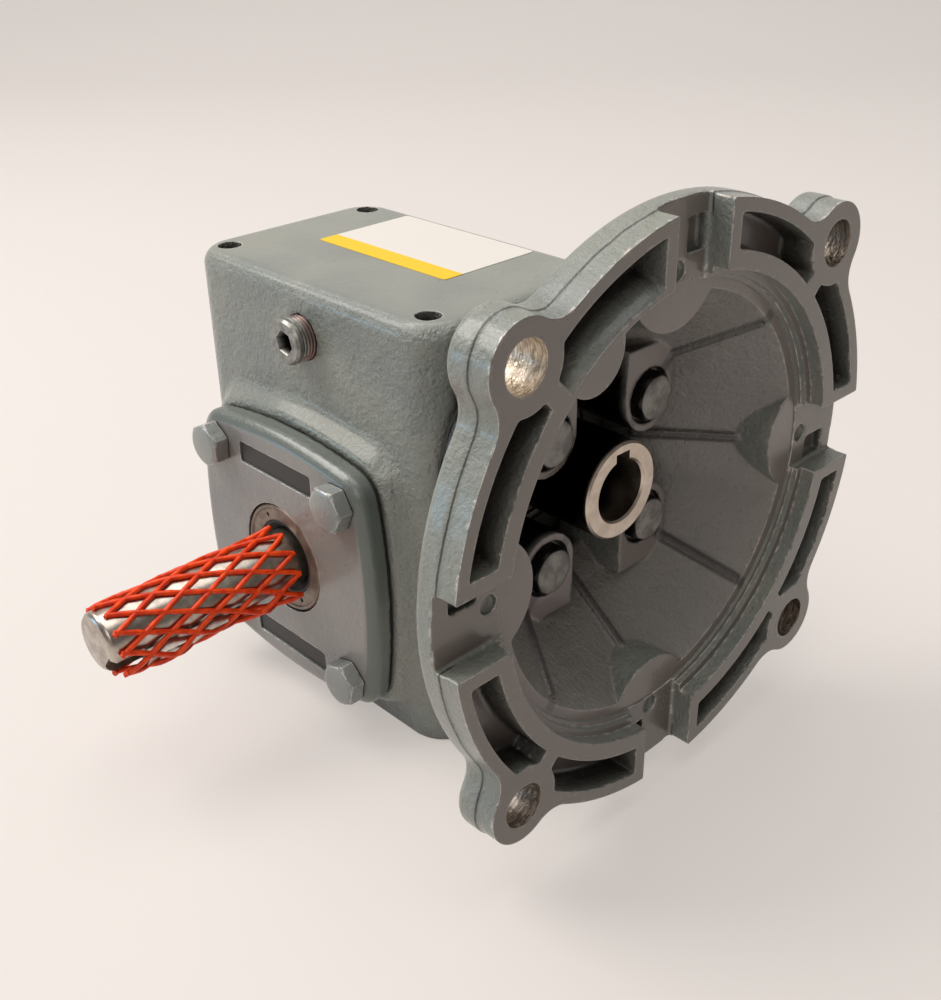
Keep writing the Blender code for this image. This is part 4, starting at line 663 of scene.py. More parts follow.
lit_ear_hole = add_node(bell_enamel, "ShaderNodeMapRange", {
    "Value": millimetres_from(bell_enamel, (-EAR_OFFSET, EAR_OFFSET)),
    "From Min": 6.0, "From Max": 8.0, "To Min": 1.0, "To Max": 0.0,
}, interpolation_type="SMOOTHSTEP")
drill_tone = add_node(bell_enamel, "ShaderNodeMix", {
    0: lit_ear_hole, 6: drill_tone, 7: lit_hole_tone,
}, data_type="RGBA")
coat = add_node(bell_enamel, "ShaderNodeMix", {0: drilled, 6: coat, 7: drill_tone}, data_type="RGBA")
bell_enamel.node_tree.links.new(coat, bell_shader.inputs["Base Color"])
metal_share = add_node(bell_enamel, "ShaderNodeMath", {
    0: drilled, 1: 0.9, 2: bell_shader.inputs["Metallic"].links[0].from_socket,
}, operation="MULTIPLY_ADD")
bell_enamel.node_tree.links.new(metal_share, bell_shader.inputs["Metallic"])

bm = bmesh.new()
rim_levels = [(-0.45, -1.2), (-0.4, 5.2), (0.0, 5.5), (0.0, 10.2), (-0.5, 11.1), (-1.3, 11.5)]
loft(bm, [at_height(flange_outline(out), depth) for out, depth in rim_levels])
bell = new_piece("motor_bell_casting", bm, None, ALONG_Y, FLANGE_CENTRE)


def bell_tool(bm, operation):
    combine(bell, new_piece("bell_tool", bm, None, ALONG_Y, FLANGE_CENTRE), operation)


slope = (CONE_MOUTH[0] - CONE_THROAT[0]) / (CONE_THROAT[1] - CONE_MOUTH[1])
skin = CONE_WALL * math.sqrt(1 + slope**2)
back_radius = CONE_THROAT[0] + 6
back_start = CONE_MOUTH[1] + (CONE_MOUTH[0] + skin - back_radius) / slope
cone_start = FLANGE_THICKNESS - 2
bm = bmesh.new()
revolve(bm, [
    (0, cone_start),
    (CONE_MOUTH[0] + skin - slope * (cone_start - CONE_MOUTH[1]), cone_start),
    (back_radius, back_start),
    (back_radius, BELL_DEPTH - 0.8),
    (back_radius - 0.8, BELL_DEPTH),
    (0, BELL_DEPTH),
], 160)
bell_tool(bm, "UNION")
bm = bmesh.new()
revolve(bm, [
    (0, -2), (CONE_MOUTH[0] + 1, -2), (CONE_MOUTH[0] + 1, 4.0), CONE_MOUTH,
    CONE_THROAT, (CONE_THROAT[0], BELL_DEPTH + 1), (0, BELL_DEPTH + 1),
], 160)
bell_tool(bm, "DIFFERENCE")
bm = bmesh.new()
for i in range(4):
    loft(bm, [
        at_height(turn(lens(CONE_MOUTH[0] + past, LOBE_CENTRE, LOBE_RADIUS, 20), i * math.pi / 2), depth)
        for past, depth in ((2.2, 5.4), (2.0, 7.0), (-7.6, 18.2))
    ])
bell_tool(bm, "UNION")
bm = bmesh.new()
for spot in corners_of(BELL_BOLT_SPOT):
    outline = arc((0, 0), BOSS_RADIUS, math.pi, math.tau, 20)
    outline += [(BOSS_RADIUS - 0.5, BOSS_REACH), (0.5 - BOSS_RADIUS, BOSS_REACH)]
    flip = math.copysign(1, spot[1])
    prism(bm, [(x + spot[0], flip * y + spot[1]) for x, y in outline], BOSS_TOP, BELL_DEPTH - 1.5)
bell_tool(bm, "UNION")
bm = bmesh.new()
RIB_RADIUS = 1.5
cone_length = math.hypot(CONE_MOUTH[0] - CONE_THROAT[0], CONE_THROAT[1] - CONE_MOUTH[1])
for i in range(8):
    angle = i * math.pi / 4
    outward = Vector((math.cos(angle), math.sin(angle), 0))
    across = Vector((-math.sin(angle), math.cos(angle), 0))
    inner = outward * CONE_THROAT[0] + Vector((0, 0, CONE_THROAT[1]))
    along = (outward * CONE_MOUTH[0] + Vector((0, 0, CONE_MOUTH[1])) - inner) / cone_length
    normal = along.cross(across)
    reach = cone_length * (0.7 if i == 0 else 0.93)
    section = arc((0, 0), RIB_RADIUS, 0, math.tau * 11 / 12, 11)
    loft(bm, [
        [inner + along * distance + across * x + normal * y for x, y in section]
        for distance in (0.5, reach)
    ])
bell_tool(bm, "UNION")
bm = bmesh.new()
for spot in corners_of(BELL_BOLT_SPOT):
    rod(bm, HEAD_POCKET, BOSS_TOP - 1, BOLT_SEAT + GAP, 40, spot)
for i in range(4):
    spot = turn([(DIMPLE, 0)], i * math.pi / 2)[0]
    rod(bm, 2.3, NOTCH_DEPTH - 0.5, NOTCH_DEPTH + 1.5, 24, spot)
bell_tool(bm, "DIFFERENCE")
bm = bmesh.new()
half = NOTCH_WIDTH / 2
notch_start = CONE_MOUTH[0] - 3
notch_end = FLANGE_RADIUS + 3
notch = [(notch_start, -half), (notch_end, -half), (notch_end, half), (notch_start, half)]
pocket = rim_pocket()
for i in range(4):
    prism(bm, turn(notch, i * math.pi / 2), -2, NOTCH_DEPTH)
    prism(bm, turn(pocket, (i + 0.5) * math.pi / 2), -2, POCKET_DEPTH)
    if i != 2:
        prism(bm, turn([(x, -y) for x, y in reversed(pocket)], (i + 0.5) * math.pi / 2), -2, POCKET_DEPTH)
# The pocket above the upper left ear has a sloped and rounded ring wall.
loft(bm, [
    at_height(turn([(x, -y) for x, y in reversed(rim_pocket(wall))], 2.5 * math.pi / 2), depth)
    for depth, wall in ((-2, 0.9), (0.0, 0.9), (0.5, 1.6), (2.5, 2.8), (5.5, 3.9), (POCKET_DEPTH, RIM_WIDTH))
])
bell_tool(bm, "DIFFERENCE")
bm = bmesh.new()
# A small cored pocket stands in each notch's floor, between the boss and the outer wall.
for i in range(4):
    outline = [(60.2, 2.4), (68.0, 2.4), (68.0, 8.6), (60.2, 8.6)]
    prism(bm, turn(outline, i * math.pi / 2), NOTCH_DEPTH - 1, NOTCH_DEPTH + 2.6)
bell_tool(bm, "DIFFERENCE")
cast(bell, voxel=0.45, passes=3)
# The mounting face, the stepped pilot bore and the bolt holes are machined after casting.
bm = bmesh.new()
rod(bm, 2 * FLANGE_RADIUS, -5, 0, 24)
bell_tool(bm, "DIFFERENCE")
bm = bmesh.new()
revolve(bm, [
    (0, -1), (PILOT_RADIUS, -1), (PILOT_RADIUS, 3.9), (55.5, 4.1), (55.3, 5.6), (54.3, 5.7),
    (54.2, 6.6), (0, 6.6),
], 200)
for spot in corners_of(BELL_BOLT_SPOT):
    rod(bm, BOLT_HOLE, BOSS_TOP + 3, BELL_DEPTH + 1, 24, spot)
for spot in corners_of((EAR_OFFSET, EAR_OFFSET)):
    rod(bm, EAR_HOLE, -1, FLANGE_THICKNESS + 1, 64, spot)
bell_tool(bm, "DIFFERENCE")
bm = bmesh.new()
prism(bm, turn(lens(PILOT_RADIUS + 1.3, TAB_CENTRE, TAB_RADIUS, 20), TAB_TURN), 0.02, 3.6)
bell_tool(bm, "UNION")
thin_out(bell, kept=0.35)
shade(bell, bell_enamel)
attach(bell, "gearcase")
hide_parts("bell_flange")


# Covers: square castings with bowed sides, faced and painted, one open for the shaft and one closed.
# The open one has two sunk plates, inked black.
COVER_INNER = PAD_FACE + 0.5 + 2 * GAP
COVER_THICKNESS = 6.2
COVER_OUTER = COVER_INNER + COVER_THICKNESS
SEAL_RADIUS = 16.0
BEARING_RADIUS = 20.0
PLATE_HALF = (3.1, 15.5)
PLATE_OFFSET = 27.2
PLATE_DEPTH = 0.5

cover_enamel = enamel_finish("cast_cover_in_grey_enamel", "#74726f", 0.25)
# Only the flat face is browner: round its edge a cover has the green-grey of the gearcase, painted darker as
# painted shade.
cover_shader = cover_enamel.node_tree.nodes["Principled BSDF"]
cover_normal = add_node(cover_enamel, "ShaderNodeTexCoord", output="Normal")
sideways = add_node(cover_enamel, "ShaderNodeSeparateXYZ", {0: cover_normal}, "X")
sideways = add_node(cover_enamel, "ShaderNodeMath", {0: sideways}, operation="ABSOLUTE")
on_face = add_node(cover_enamel, "ShaderNodeMapRange", {
    "Value": sideways, "From Min": 0.93, "From Max": 0.99,
}, interpolation_type="SMOOTHSTEP")
cover_tone_and_side_shade = add_node(cover_enamel, "ShaderNodeMix", {
    0: on_face, 6: colour("#5c625d"), 7: cover_shader.inputs["Base Color"].links[0].from_socket,
}, data_type="RGBA")
cover_enamel.node_tree.links.new(cover_tone_and_side_shade, cover_shader.inputs["Base Color"])
panel_ink, _ = new_finish("black_panel_ink", "#131211", 0.42)
for name, place, is_open in (("output_cover", TO_LEFT, True), ("closed_cover", TO_RIGHT, False)):
    bm = bmesh.new()
    edge = [
        (0.0, COVER_INNER), (0.0, COVER_INNER + 3.4), (-0.35, COVER_INNER + 4.3),
        (-1.1, COVER_INNER + 5.1), (-2.3, COVER_OUTER - 0.25), (-3.3, COVER_OUTER),
    ]
    loft(bm, [at_height(cover_outline(out), height) for out, height in edge])
    cover = new_piece(name + "_plate", bm, None, place, OUTPUT_CENTRE)
    bm = bmesh.new()
    spigot_end = COVER_INNER - 14.1
    revolve(bm, [
        (0, spigot_end), (25.7, spigot_end), (29.7, spigot_end + 4), (29.7, COVER_INNER + 1),
        (0, COVER_INNER + 1),
    ], 96)
    combine(cover, new_piece("spigot", bm, None, place, OUTPUT_CENTRE), "UNION")
    cast(cover, voxel=0.42, passes=2)
    bm = bmesh.new()
    pocket_end = spigot_end + 0.3 + 12.3
    profile = [(0, spigot_end - 1), (BEARING_RADIUS, spigot_end - 1), (BEARING_RADIUS, pocket_end)]
    if is_open:
        seal_start = COVER_OUTER - 7.3
        profile += [
            (13.0, pocket_end), (13.0, seal_start), (SEAL_RADIUS, seal_start),
            (SEAL_RADIUS, COVER_OUTER + 1), (0, COVER_OUTER + 1),
        ]
    else:
        profile += [(11.5, pocket_end), (11.5, pocket_end + 2), (0, pocket_end + 2)]
    revolve(bm, profile, 96)
    for spot in corners_of((COVER_BOLT, COVER_BOLT)):
        rod(bm, BOLT_HOLE, COVER_INNER - 1, COVER_OUTER + 1, 24, spot)
    if is_open:
        inked = bmesh.new()
        for side in (-1, 1):
            plate = rounded_block(*PLATE_HALF, 0.9, 4)
            plate = [(x + side * PLATE_OFFSET, y) for x, y in plate]
            prism(bm, plate, COVER_OUTER - PLATE_DEPTH, COVER_OUTER + 1)
            panel = rounded_block(PLATE_HALF[0] - 0.2, PLATE_HALF[1] - 0.2, 0.8, 4)
            panel = [(x + side * PLATE_OFFSET, y) for x, y in panel]
            prism(inked, panel, COVER_OUTER - PLATE_DEPTH - 0.3, COVER_OUTER - PLATE_DEPTH + 0.08)
        panels = new_piece("bare_sunk_panels", inked, None, place, OUTPUT_CENTRE)
        shade(panels, panel_ink)
        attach(panels, "gearcase")
    combine(cover, new_piece("cover_tool", bm, None, place, OUTPUT_CENTRE), "DIFFERENCE")
    thin_out(cover, kept=0.3)
    shade(cover, cover_enamel)
    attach(cover, "gearcase")
    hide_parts(name)


# Screws: plain hexagon heads with rolled tops, sprayed over together with the castings they hold.
HEAD_FLATS = 11.1
HEAD_HEIGHT = 4.6
THREAD_RADIUS = 3.1
screw_enamel = enamel_finish("steel_screw_in_grey_enamel", "#7c7f7b", 0.3)
# The bell's screws have their sides painted black, as painted shade, and only their marked tops keep a steel
# grey.
side_shaded_screw, side_shaded_shader = new_finish("steel_screw_with_painted_side_shade", "#86857f", 0.45)
screw_place = add_node(side_shaded_screw, "ShaderNodeTexCoord", output="Object")
screw_depth = add_node(side_shaded_screw, "ShaderNodeSeparateXYZ", {0: screw_place}, "Y")
head_top = FLANGE_FACE + BOLT_SEAT - HEAD_HEIGHT
unshaded_top = add_node(side_shaded_screw, "ShaderNodeMapRange", {
    "Value": screw_depth, "To Min": 1.0, "To Max": 0.0,
    "From Min": (head_top + 0.25) * MM, "From Max": (head_top + 0.5) * MM,
}, interpolation_type="SMOOTHSTEP")
top_marks = add_node(side_shaded_screw, "ShaderNodeTexNoise", {
    "Vector": screw_place, "Scale": 1 / (3.5 * MM), "Detail": 4.0, "Roughness": 0.6,
})
top_marks = add_node(side_shaded_screw, "ShaderNodeMapRange", {
    "Value": top_marks, "From Min": 0.35, "From Max": 0.62,
}, interpolation_type="SMOOTHSTEP")
top_tone = add_node(side_shaded_screw, "ShaderNodeMix", {
    0: top_marks, 6: colour("#6a6661"), 7: colour("#918e88"),
}, data_type="RGBA")
screw_tone_with_side_shade = add_node(side_shaded_screw, "ShaderNodeMix", {
    0: unshaded_top, 6: colour("#060606"), 7: top_tone,
}, data_type="RGBA")
side_shaded_screw.node_tree.links.new(screw_tone_with_side_shade, side_shaded_shader.inputs["Base Color"])


def screw_head(bm, seat, end, shift):
    """A hexagon head whose corners are turned down, on a plain shank that runs to local height end."""
    levels = [
        (0.0, -0.15), (0.25, 0.0), (HEAD_HEIGHT - 0.9, 0.0), (HEAD_HEIGHT - 0.45, 0.62),
        (HEAD_HEIGHT - 0.1, 1.35), (HEAD_HEIGHT, 1.75),
    ]
    rings = []
    corner = HEAD_FLATS / math.sqrt(3)
    for height, inset in levels:
        ring = []
        for i in range(48):
            angle = math.tau * i / 48
            sixth = (angle + math.pi / 6) % (math.pi / 3) - math.pi / 6
            flat = HEAD_FLATS / 2 / math.cos(sixth)
            radius = min(flat, corner - max(inset, 0.0) - 0.12)
            x = shift[0] + radius * math.cos(angle)
            y = shift[1] + radius * math.sin(angle)
            ring.append((x, y, seat + height))
        rings.append(ring)
    loft(bm, rings)
    rod(bm, THREAD_RADIUS, end, seat + 0.5, 24, shift)


screws = []
for name, place in (("output_cover", TO_LEFT), ("closed_cover", TO_RIGHT)):
    for number, spot in enumerate(corners_of((COVER_BOLT, COVER_BOLT)), 1):
        name_and_place = (f"{name}_bolt_{number}", place, OUTPUT_CENTRE)
        screws.append((*name_and_place, COVER_OUTER + GAP, COVER_OUTER - 15.5, spot))
TOWARD_MOTOR = Matrix.Rotation(math.pi / 2, 4, "X")
for number, spot in enumerate(corners_of(BELL_BOLT_SPOT), 1):
    name_and_place = (f"bell_bolt_{number}", TOWARD_MOTOR, FLANGE_CENTRE)
    screws.append((*name_and_place, -BOLT_SEAT, -BELL_DEPTH - 13.4, spot))
for number, (node, place, centre, seat, end, spot) in enumerate(screws):
    bm = bmesh.new()
    screw_head(bm, seat, end, (0.0, 0.0))
    spin = Matrix.Rotation(math.radians(17 + 23 * number), 4, "Z")
    bm.transform(Matrix.Translation((*spot, 0)) @ spin)
    screw = new_piece(node + "_screw", bm, None, place, centre)
    shade(screw, side_shaded_screw if place is TOWARD_MOTOR else screw_enamel, 24)
    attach(screw, "gearcase")
    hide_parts(node)


# Pipe plugs: square-cut taper threads in dark steel with a hexagon socket, screwed in with red sealant.
PLUG_END = 38.2
plug_steel, plug_shader = new_finish("zinc_plated_steel_plug", "#8b8a87", 0.38, 0.7)
plug_place = add_node(plug_steel, "ShaderNodeTexCoord", output="Object")
oxide = add_node(plug_steel, "ShaderNodeTexNoise", {
    "Vector": plug_place, "Scale": 1 / (2.2 * MM), "Detail": 4.0, "Roughness": 0.6,
})
oxide = add_node(plug_steel, "ShaderNodeMapRange", {
    "Value": oxide, "From Min": 0.35, "From Max": 0.65,
}, interpolation_type="SMOOTHSTEP")
from_middle = add_node(plug_steel, "ShaderNodeSeparateXYZ", {0: plug_place}, "X")
from_middle = add_node(plug_steel, "ShaderNodeMath", {0: from_middle}, operation="ABSOLUTE")
sealant = add_node(plug_steel, "ShaderNodeMapRange", {
    "Value": from_middle, "From Min": 33.8 * MM, "From Max": 35.2 * MM, "To Min": 0.55, "To Max": 0.0,
})
# The hexagon socket is painted near black, as painted shade.
out_of_socket = add_node(plug_steel, "ShaderNodeAmbientOcclusion", {"Distance": 6.0 * MM}, "AO", samples=8)
socket_shade = add_node(plug_steel, "ShaderNodeMapRange", {
    "Value": out_of_socket, "From Min": 0.25, "From Max": 0.6, "To Min": 1.0, "To Max": 0.0,
}, interpolation_type="SMOOTHSTEP")
plug_tone = add_node(plug_steel, "ShaderNodeMix", {
    0: oxide, 6: colour("#6f6e6c"), 7: colour("#979690"),
}, data_type="RGBA")
for share, tone in ((sealant, "#7a4a44"), (socket_shade, "#0c0b0a")):
    plug_tone = add_node(plug_steel, "ShaderNodeMix", {
        0: share, 6: plug_tone, 7: colour(tone),
    }, data_type="RGBA")
plug_steel.node_tree.links.new(plug_tone, plug_shader.inputs["Base Color"])
for node, place in (("level_plug", TO_LEFT), ("filler_plug", TO_RIGHT)):
    bm = bmesh.new()
    profile = [(0, 26.3), (5.6, 26.3), (5.8, 32.2)]
    for i in range(4):
        start = 32.4 + i * 0.94
        crest = start + 0.35
        profile += [(5.55, start), (PLUG_RADIUS, crest), (PLUG_RADIUS, crest + 0.2), (5.55, start + 0.9)]
    profile += [(PLUG_RADIUS, 36.5), (PLUG_RADIUS, 37.5), (5.4, PLUG_END), (0, PLUG_END)]
    revolve(bm, profile, 48)
    plug = new_piece(node + "_body", bm, None, place, PLUG_SPOT)
    bm = bmesh.new()
    socket = [turn([(2.9, 0)], i * math.pi / 3 + 0.3)[0] for i in range(6)]
    bored = [turn([(3.4, 0)], i * math.pi / 3 + 0.3)[0] for i in range(6)]
    loft(bm, [
        at_height(socket, PLUG_END - 5), at_height(socket, PLUG_END - 0.6),
        at_height(bored, PLUG_END + 0.1), at_height(bored, PLUG_END + 1),
    ])
    combine(plug, new_piece("socket", bm, None, place, PLUG_SPOT), "DIFFERENCE")
    shade(plug, plug_steel, 32)
    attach(plug, "gearcase")
    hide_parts(node)


# Lip seals: pressed steel cases with a rubber lip, pushed in flush with the cover and the bearing bore.
SHAFT_RADIUS = 7.94
seal_case, seal_shader = new_finish("phosphated_seal_case", "#77695e", 0.42, 0.75)
seal_place = add_node(seal_case, "ShaderNodeTexCoord", output="Object")
seal_stains = add_node(seal_case, "ShaderNodeTexNoise", {
    "Vector": seal_place, "Scale": 1 / (3.0 * MM), "Detail": 4.0, "Roughness": 0.6,
})
seal_stains = add_node(seal_case, "ShaderNodeMapRange", {
    "Value": seal_stains, "From Min": 0.3, "From Max": 0.7,
}, interpolation_type="SMOOTHSTEP")
seal_tone = add_node(seal_case, "ShaderNodeMix", {
    0: seal_stains, 6: colour("#6a5d53"), 7: colour("#8b7d71"),
}, data_type="RGBA")
seal_case.node_tree.links.new(seal_tone, seal_shader.inputs["Base Color"])
bm = bmesh.new()
revolve(bm, [
    (15.7, 37.3), (15.7, COVER_OUTER - 0.6), (15.2, COVER_OUTER - 0.1), (14.6, COVER_OUTER - 0.1),
    (14.2, COVER_OUTER - 0.5), (11.0, COVER_OUTER - 0.6), (10.6, COVER_OUTER - 1.1),
    (10.3, COVER_OUTER - 2.4), (9.0, COVER_OUTER - 2.9), (SHAFT_RADIUS + GAP, COVER_OUTER - 4.0),
    (SHAFT_RADIUS + GAP, 39.3), (9.7, 37.3),
], 96)
output_seal = new_piece("output_lip_seal", bm, None, TO_LEFT, OUTPUT_CENTRE)
bm = bmesh.new()
for angle in (0.5, 0.5 + math.pi):
    rod(bm, 0.65, COVER_OUTER - 1.0, COVER_OUTER + 1, 16, turn([(12.7, 0)], angle)[0])
combine(output_seal, new_piece("seal_marks", bm, None, TO_LEFT, OUTPUT_CENTRE), "DIFFERENCE")
shade(output_seal, seal_case, 30)
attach(output_seal, "gearcase")
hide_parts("output_seal")


seal_rubber, _ = new_finish("nitrile_rubber_lip", "#0f0e0d", 0.55)
bm = bmesh.new()
revolve(bm, [
    (SHAFT_RADIUS + 0.25, COVER_OUTER - 3.4), (10.5, COVER_OUTER - 2.2), (10.7, COVER_OUTER - 1.0),
    (10.1, COVER_OUTER - 0.8), (8.9, COVER_OUTER - 1.9), (SHAFT_RADIUS + 0.2, COVER_OUTER - 2.6),
], 96)
lip = new_piece("output_seal_lip", bm, None, TO_LEFT, OUTPUT_CENTRE)
shade(lip, seal_rubber, 30)
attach(lip, "gearcase")


# Quill: the front end of the worm shaft, ground outside and bored and broached for the motor's shaft
# and key. Its end face is fine-turned steel with a thin film of oil.
QUILL_FACE = -80.3
QUILL_RADIUS = 12.5
BORE_RADIUS = 7.94
KEY_WIDTH = 4.7625
ground_steel, ground_shader = new_finish("fine_turned_steel", "#c9bcae", 0.34, 1.0)
steel_place = add_node(ground_steel, "ShaderNodeTexCoord", output="Object")
# Turning marks of about 0.1 mm, drawn at 0.5 mm along the shaft's axis so that they show.
drawn_out = add_node(ground_steel, "ShaderNodeMapping", {"Vector": steel_place, "Scale": (0.04, 1.0, 0.04)})
marks = add_node(ground_steel, "ShaderNodeTexNoise", {
    "Vector": drawn_out, "Scale": 1 / (0.5 * MM), "Detail": 2.0, "Roughness": 0.5,
})
steel_bump = add_node(ground_steel, "ShaderNodeBump", {
    "Strength": 0.3, "Distance": 0.02 * MM, "Height": marks,
})
ground_steel.node_tree.links.new(steel_bump, ground_shader.inputs["Normal"])
steel_worn = add_node(ground_steel, "ShaderNodeTexNoise", {
    "Vector": steel_place, "Scale": 1 / (5.0 * MM), "Detail": 4.0, "Roughness": 0.6,
})
steel_worn = add_node(ground_steel, "ShaderNodeMapRange", {
    "Value": steel_worn, "From Min": 0.3, "From Max": 0.75,
}, interpolation_type="SMOOTHSTEP")
steel_tone = add_node(ground_steel, "ShaderNodeMix", {
    0: steel_worn, 6: colour("#b5a798"), 7: colour("#d6cabd"),
}, data_type="RGBA")
# Behind its bright end the quill is painted black, as painted shade, outside at once and in the bore further
# in.
steel_radius = millimetres_from(ground_steel, (0, 0))
steel_depth = add_node(ground_steel, "ShaderNodeSeparateXYZ", {0: steel_place}, "Y")
outer_side = add_node(ground_steel, "ShaderNodeMapRange", {
    "Value": steel_radius, "From Min": 10.4, "From Max": 10.8,
}, interpolation_type="SMOOTHSTEP")
past_edge = add_node(ground_steel, "ShaderNodeMapRange", {
    "Value": steel_depth, "From Min": (QUILL_FACE + 0.5) * MM, "From Max": (QUILL_FACE + 1.3) * MM,
}, interpolation_type="SMOOTHSTEP")
bore_side = add_node(ground_steel, "ShaderNodeMapRange", {
    "Value": steel_radius, "From Min": 10.4, "From Max": 10.8, "To Min": 1.0, "To Max": 0.0,
}, interpolation_type="SMOOTHSTEP")
deep_in = add_node(ground_steel, "ShaderNodeMapRange", {
    "Value": steel_depth, "From Min": (QUILL_FACE + 3) * MM, "From Max": (QUILL_FACE + 15) * MM,
}, interpolation_type="SMOOTHSTEP")
bore_shade = add_node(ground_steel, "ShaderNodeMath", {0: bore_side, 1: deep_in}, operation="MULTIPLY")
quill_shade = add_node(ground_steel, "ShaderNodeMath", {
    0: outer_side, 1: past_edge, 2: bore_shade,
}, operation="MULTIPLY_ADD")
steel_tone = add_node(ground_steel, "ShaderNodeMix", {
    0: quill_shade, 6: steel_tone, 7: colour("#060504"),
}, data_type="RGBA")
ground_steel.node_tree.links.new(steel_tone, ground_shader.inputs["Base Color"])
steel_dull = add_node(ground_steel, "ShaderNodeMath", {
    0: steel_worn, 1: 0.12, 2: 0.28,
}, operation="MULTIPLY_ADD")
ground_steel.node_tree.links.new(steel_dull, ground_shader.inputs["Roughness"])
bm = bmesh.new()
revolve(bm, [
    (0, QUILL_FACE), (QUILL_RADIUS - 0.5, QUILL_FACE), (QUILL_RADIUS, QUILL_FACE + 0.5),
    (QUILL_RADIUS, -34.2), (13.8, -34.2), (13.8, -30.5), (8.0, -27.5), (8.0, -20.0), (6.2, -18.8),
    (6.2, 18.8), (8.0, 20.0), (8.0, 28.5), (9.5, 28.5), (9.5, 30.5), (7.5, 30.5), (7.5, 42.0),
    (6.7, 42.8), (0, 42.8),
], 96)
quill = new_piece("worm_shaft_steel", bm, None, ALONG_Y, INPUT_CENTRE)
bm = bmesh.new()
bore_end = QUILL_FACE + 42
revolve(bm, [
    (0, QUILL_FACE - 1), (BORE_RADIUS + 1.5, QUILL_FACE - 1), (BORE_RADIUS, QUILL_FACE + 0.5),
    (BORE_RADIUS, bore_end), (0, bore_end + 2),
], 96)
combine(quill, new_piece("bore", bm, None, ALONG_Y, INPUT_CENTRE), "DIFFERENCE")
bm = bmesh.new()
half = KEY_WIDTH / 2
prism(bm, [(-half, 0), (half, 0), (half, -10.2), (-half, -10.2)], QUILL_FACE - 1, bore_end)
combine(quill, new_piece("broached_keyway", bm, None, ALONG_Y, INPUT_CENTRE), "DIFFERENCE")
shade(quill, ground_steel, 30)
# The worm's thread, one ridge wound on the shaft between its two run-outs. Its lead is that of a
# wheel with 30 teeth on a pitch circle 50 mm across.
THREAD_LEAD = math.pi * 50 / 30
bm = bmesh.new()
rings = []
turns = 6.2
steps = 36
for i in range(int(turns * steps) + 1):
    angle = math.tau * i / steps
    height = THREAD_LEAD * (i / steps - turns / 2)
    fade = min(1.0, i / (steps / 2), (turns * steps - i) / (steps / 2))
    tip = 6.4 + 4.05 * fade
    ring = [(6.0, -2.0), (tip, -0.6), (tip, 0.6), (6.0, 2.0)]
    rings.append([
        (radius * math.sin(angle), -radius * math.cos(angle), height + lean) for radius, lean in ring
    ])
loft(bm, rings)
thread = new_piece("worm_thread_steel", bm, None, ALONG_Y, INPUT_CENTRE)
shade(thread, ground_steel, 30)
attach(thread, "worm")
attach(quill, "worm")
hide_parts("worm_shaft")


# Output shaft: bright turned steel, chamfered at its end and milled for a square key.
SHAFT_END = -100.8
KEYWAY_LENGTH = 37.0
KEYWAY_TURN = math.radians(-53)
shaft_steel, shaft_shader = new_finish("cold_drawn_steel", "#b3a89c", 0.3, 1.0)
shaft_place = add_node(shaft_steel, "ShaderNodeTexCoord", output="Object")
# Drawing marks of about 0.1 mm, drawn at 0.6 mm round the shaft so that they show.
shaft_lines = add_node(shaft_steel, "ShaderNodeMapping", {"Vector": shaft_place, "Scale": (1.0, 0.05, 0.05)})
shaft_marks = add_node(shaft_steel, "ShaderNodeTexNoise", {
    "Vector": shaft_lines, "Scale": 1 / (0.6 * MM), "Detail": 2.0, "Roughness": 0.5,
})
shaft_bump = add_node(shaft_steel, "ShaderNodeBump", {
    "Strength": 0.35, "Distance": 0.02 * MM, "Height": shaft_marks,
})
shaft_steel.node_tree.links.new(shaft_bump, shaft_shader.inputs["Normal"])
shaft_worn = add_node(shaft_steel, "ShaderNodeTexNoise", {
    "Vector": shaft_place, "Scale": 1 / (4.0 * MM), "Detail": 4.0, "Roughness": 0.6,
})
shaft_worn = add_node(shaft_steel, "ShaderNodeMapRange", {
    "Value": shaft_worn, "From Min": 0.3, "From Max": 0.7,
}, interpolation_type="SMOOTHSTEP")
shaft_tone = add_node(shaft_steel, "ShaderNodeMix", {
    0: shaft_worn, 6: colour("#9d9288"), 7: colour("#c8beb3"),
}, data_type="RGBA")
shaft_steel.node_tree.links.new(shaft_tone, shaft_shader.inputs["Base Color"])
bm = bmesh.new()
revolve(bm, [
    (0, SHAFT_END), (6.6, SHAFT_END), (7.0, SHAFT_END + 0.12), (SHAFT_RADIUS - 0.1, SHAFT_END + 1.0),
    (SHAFT_RADIUS, SHAFT_END + 1.3), (SHAFT_RADIUS, -36.6), (8.5, -36.6), (8.5, -24.0),
    (10.0, -24.0), (10.0, 24.0), (8.5, 24.0), (8.5, 36.6), (7.6, 37.5), (0, 37.5),
], 96)
shaft = new_piece("output_shaft_steel", bm, None, TO_RIGHT, OUTPUT_CENTRE)
bm = bmesh.new()
floor = SHAFT_RADIUS - half
keyway = turn([(floor, -half), (floor + 6, -half), (floor + 6, half), (floor, half)], KEYWAY_TURN)
prism(bm, keyway, SHAFT_END - 1, SHAFT_END + KEYWAY_LENGTH)
prism(bm, [(-11, -half), (-10 + half, -half), (-10 + half, half), (-11, half)], -8, 8)
combine(shaft, new_piece("keyways", bm, None, TO_RIGHT, OUTPUT_CENTRE), "DIFFERENCE")
shade(shaft, shaft_steel, 30)
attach(shaft, "output")
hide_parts("output_shaft")


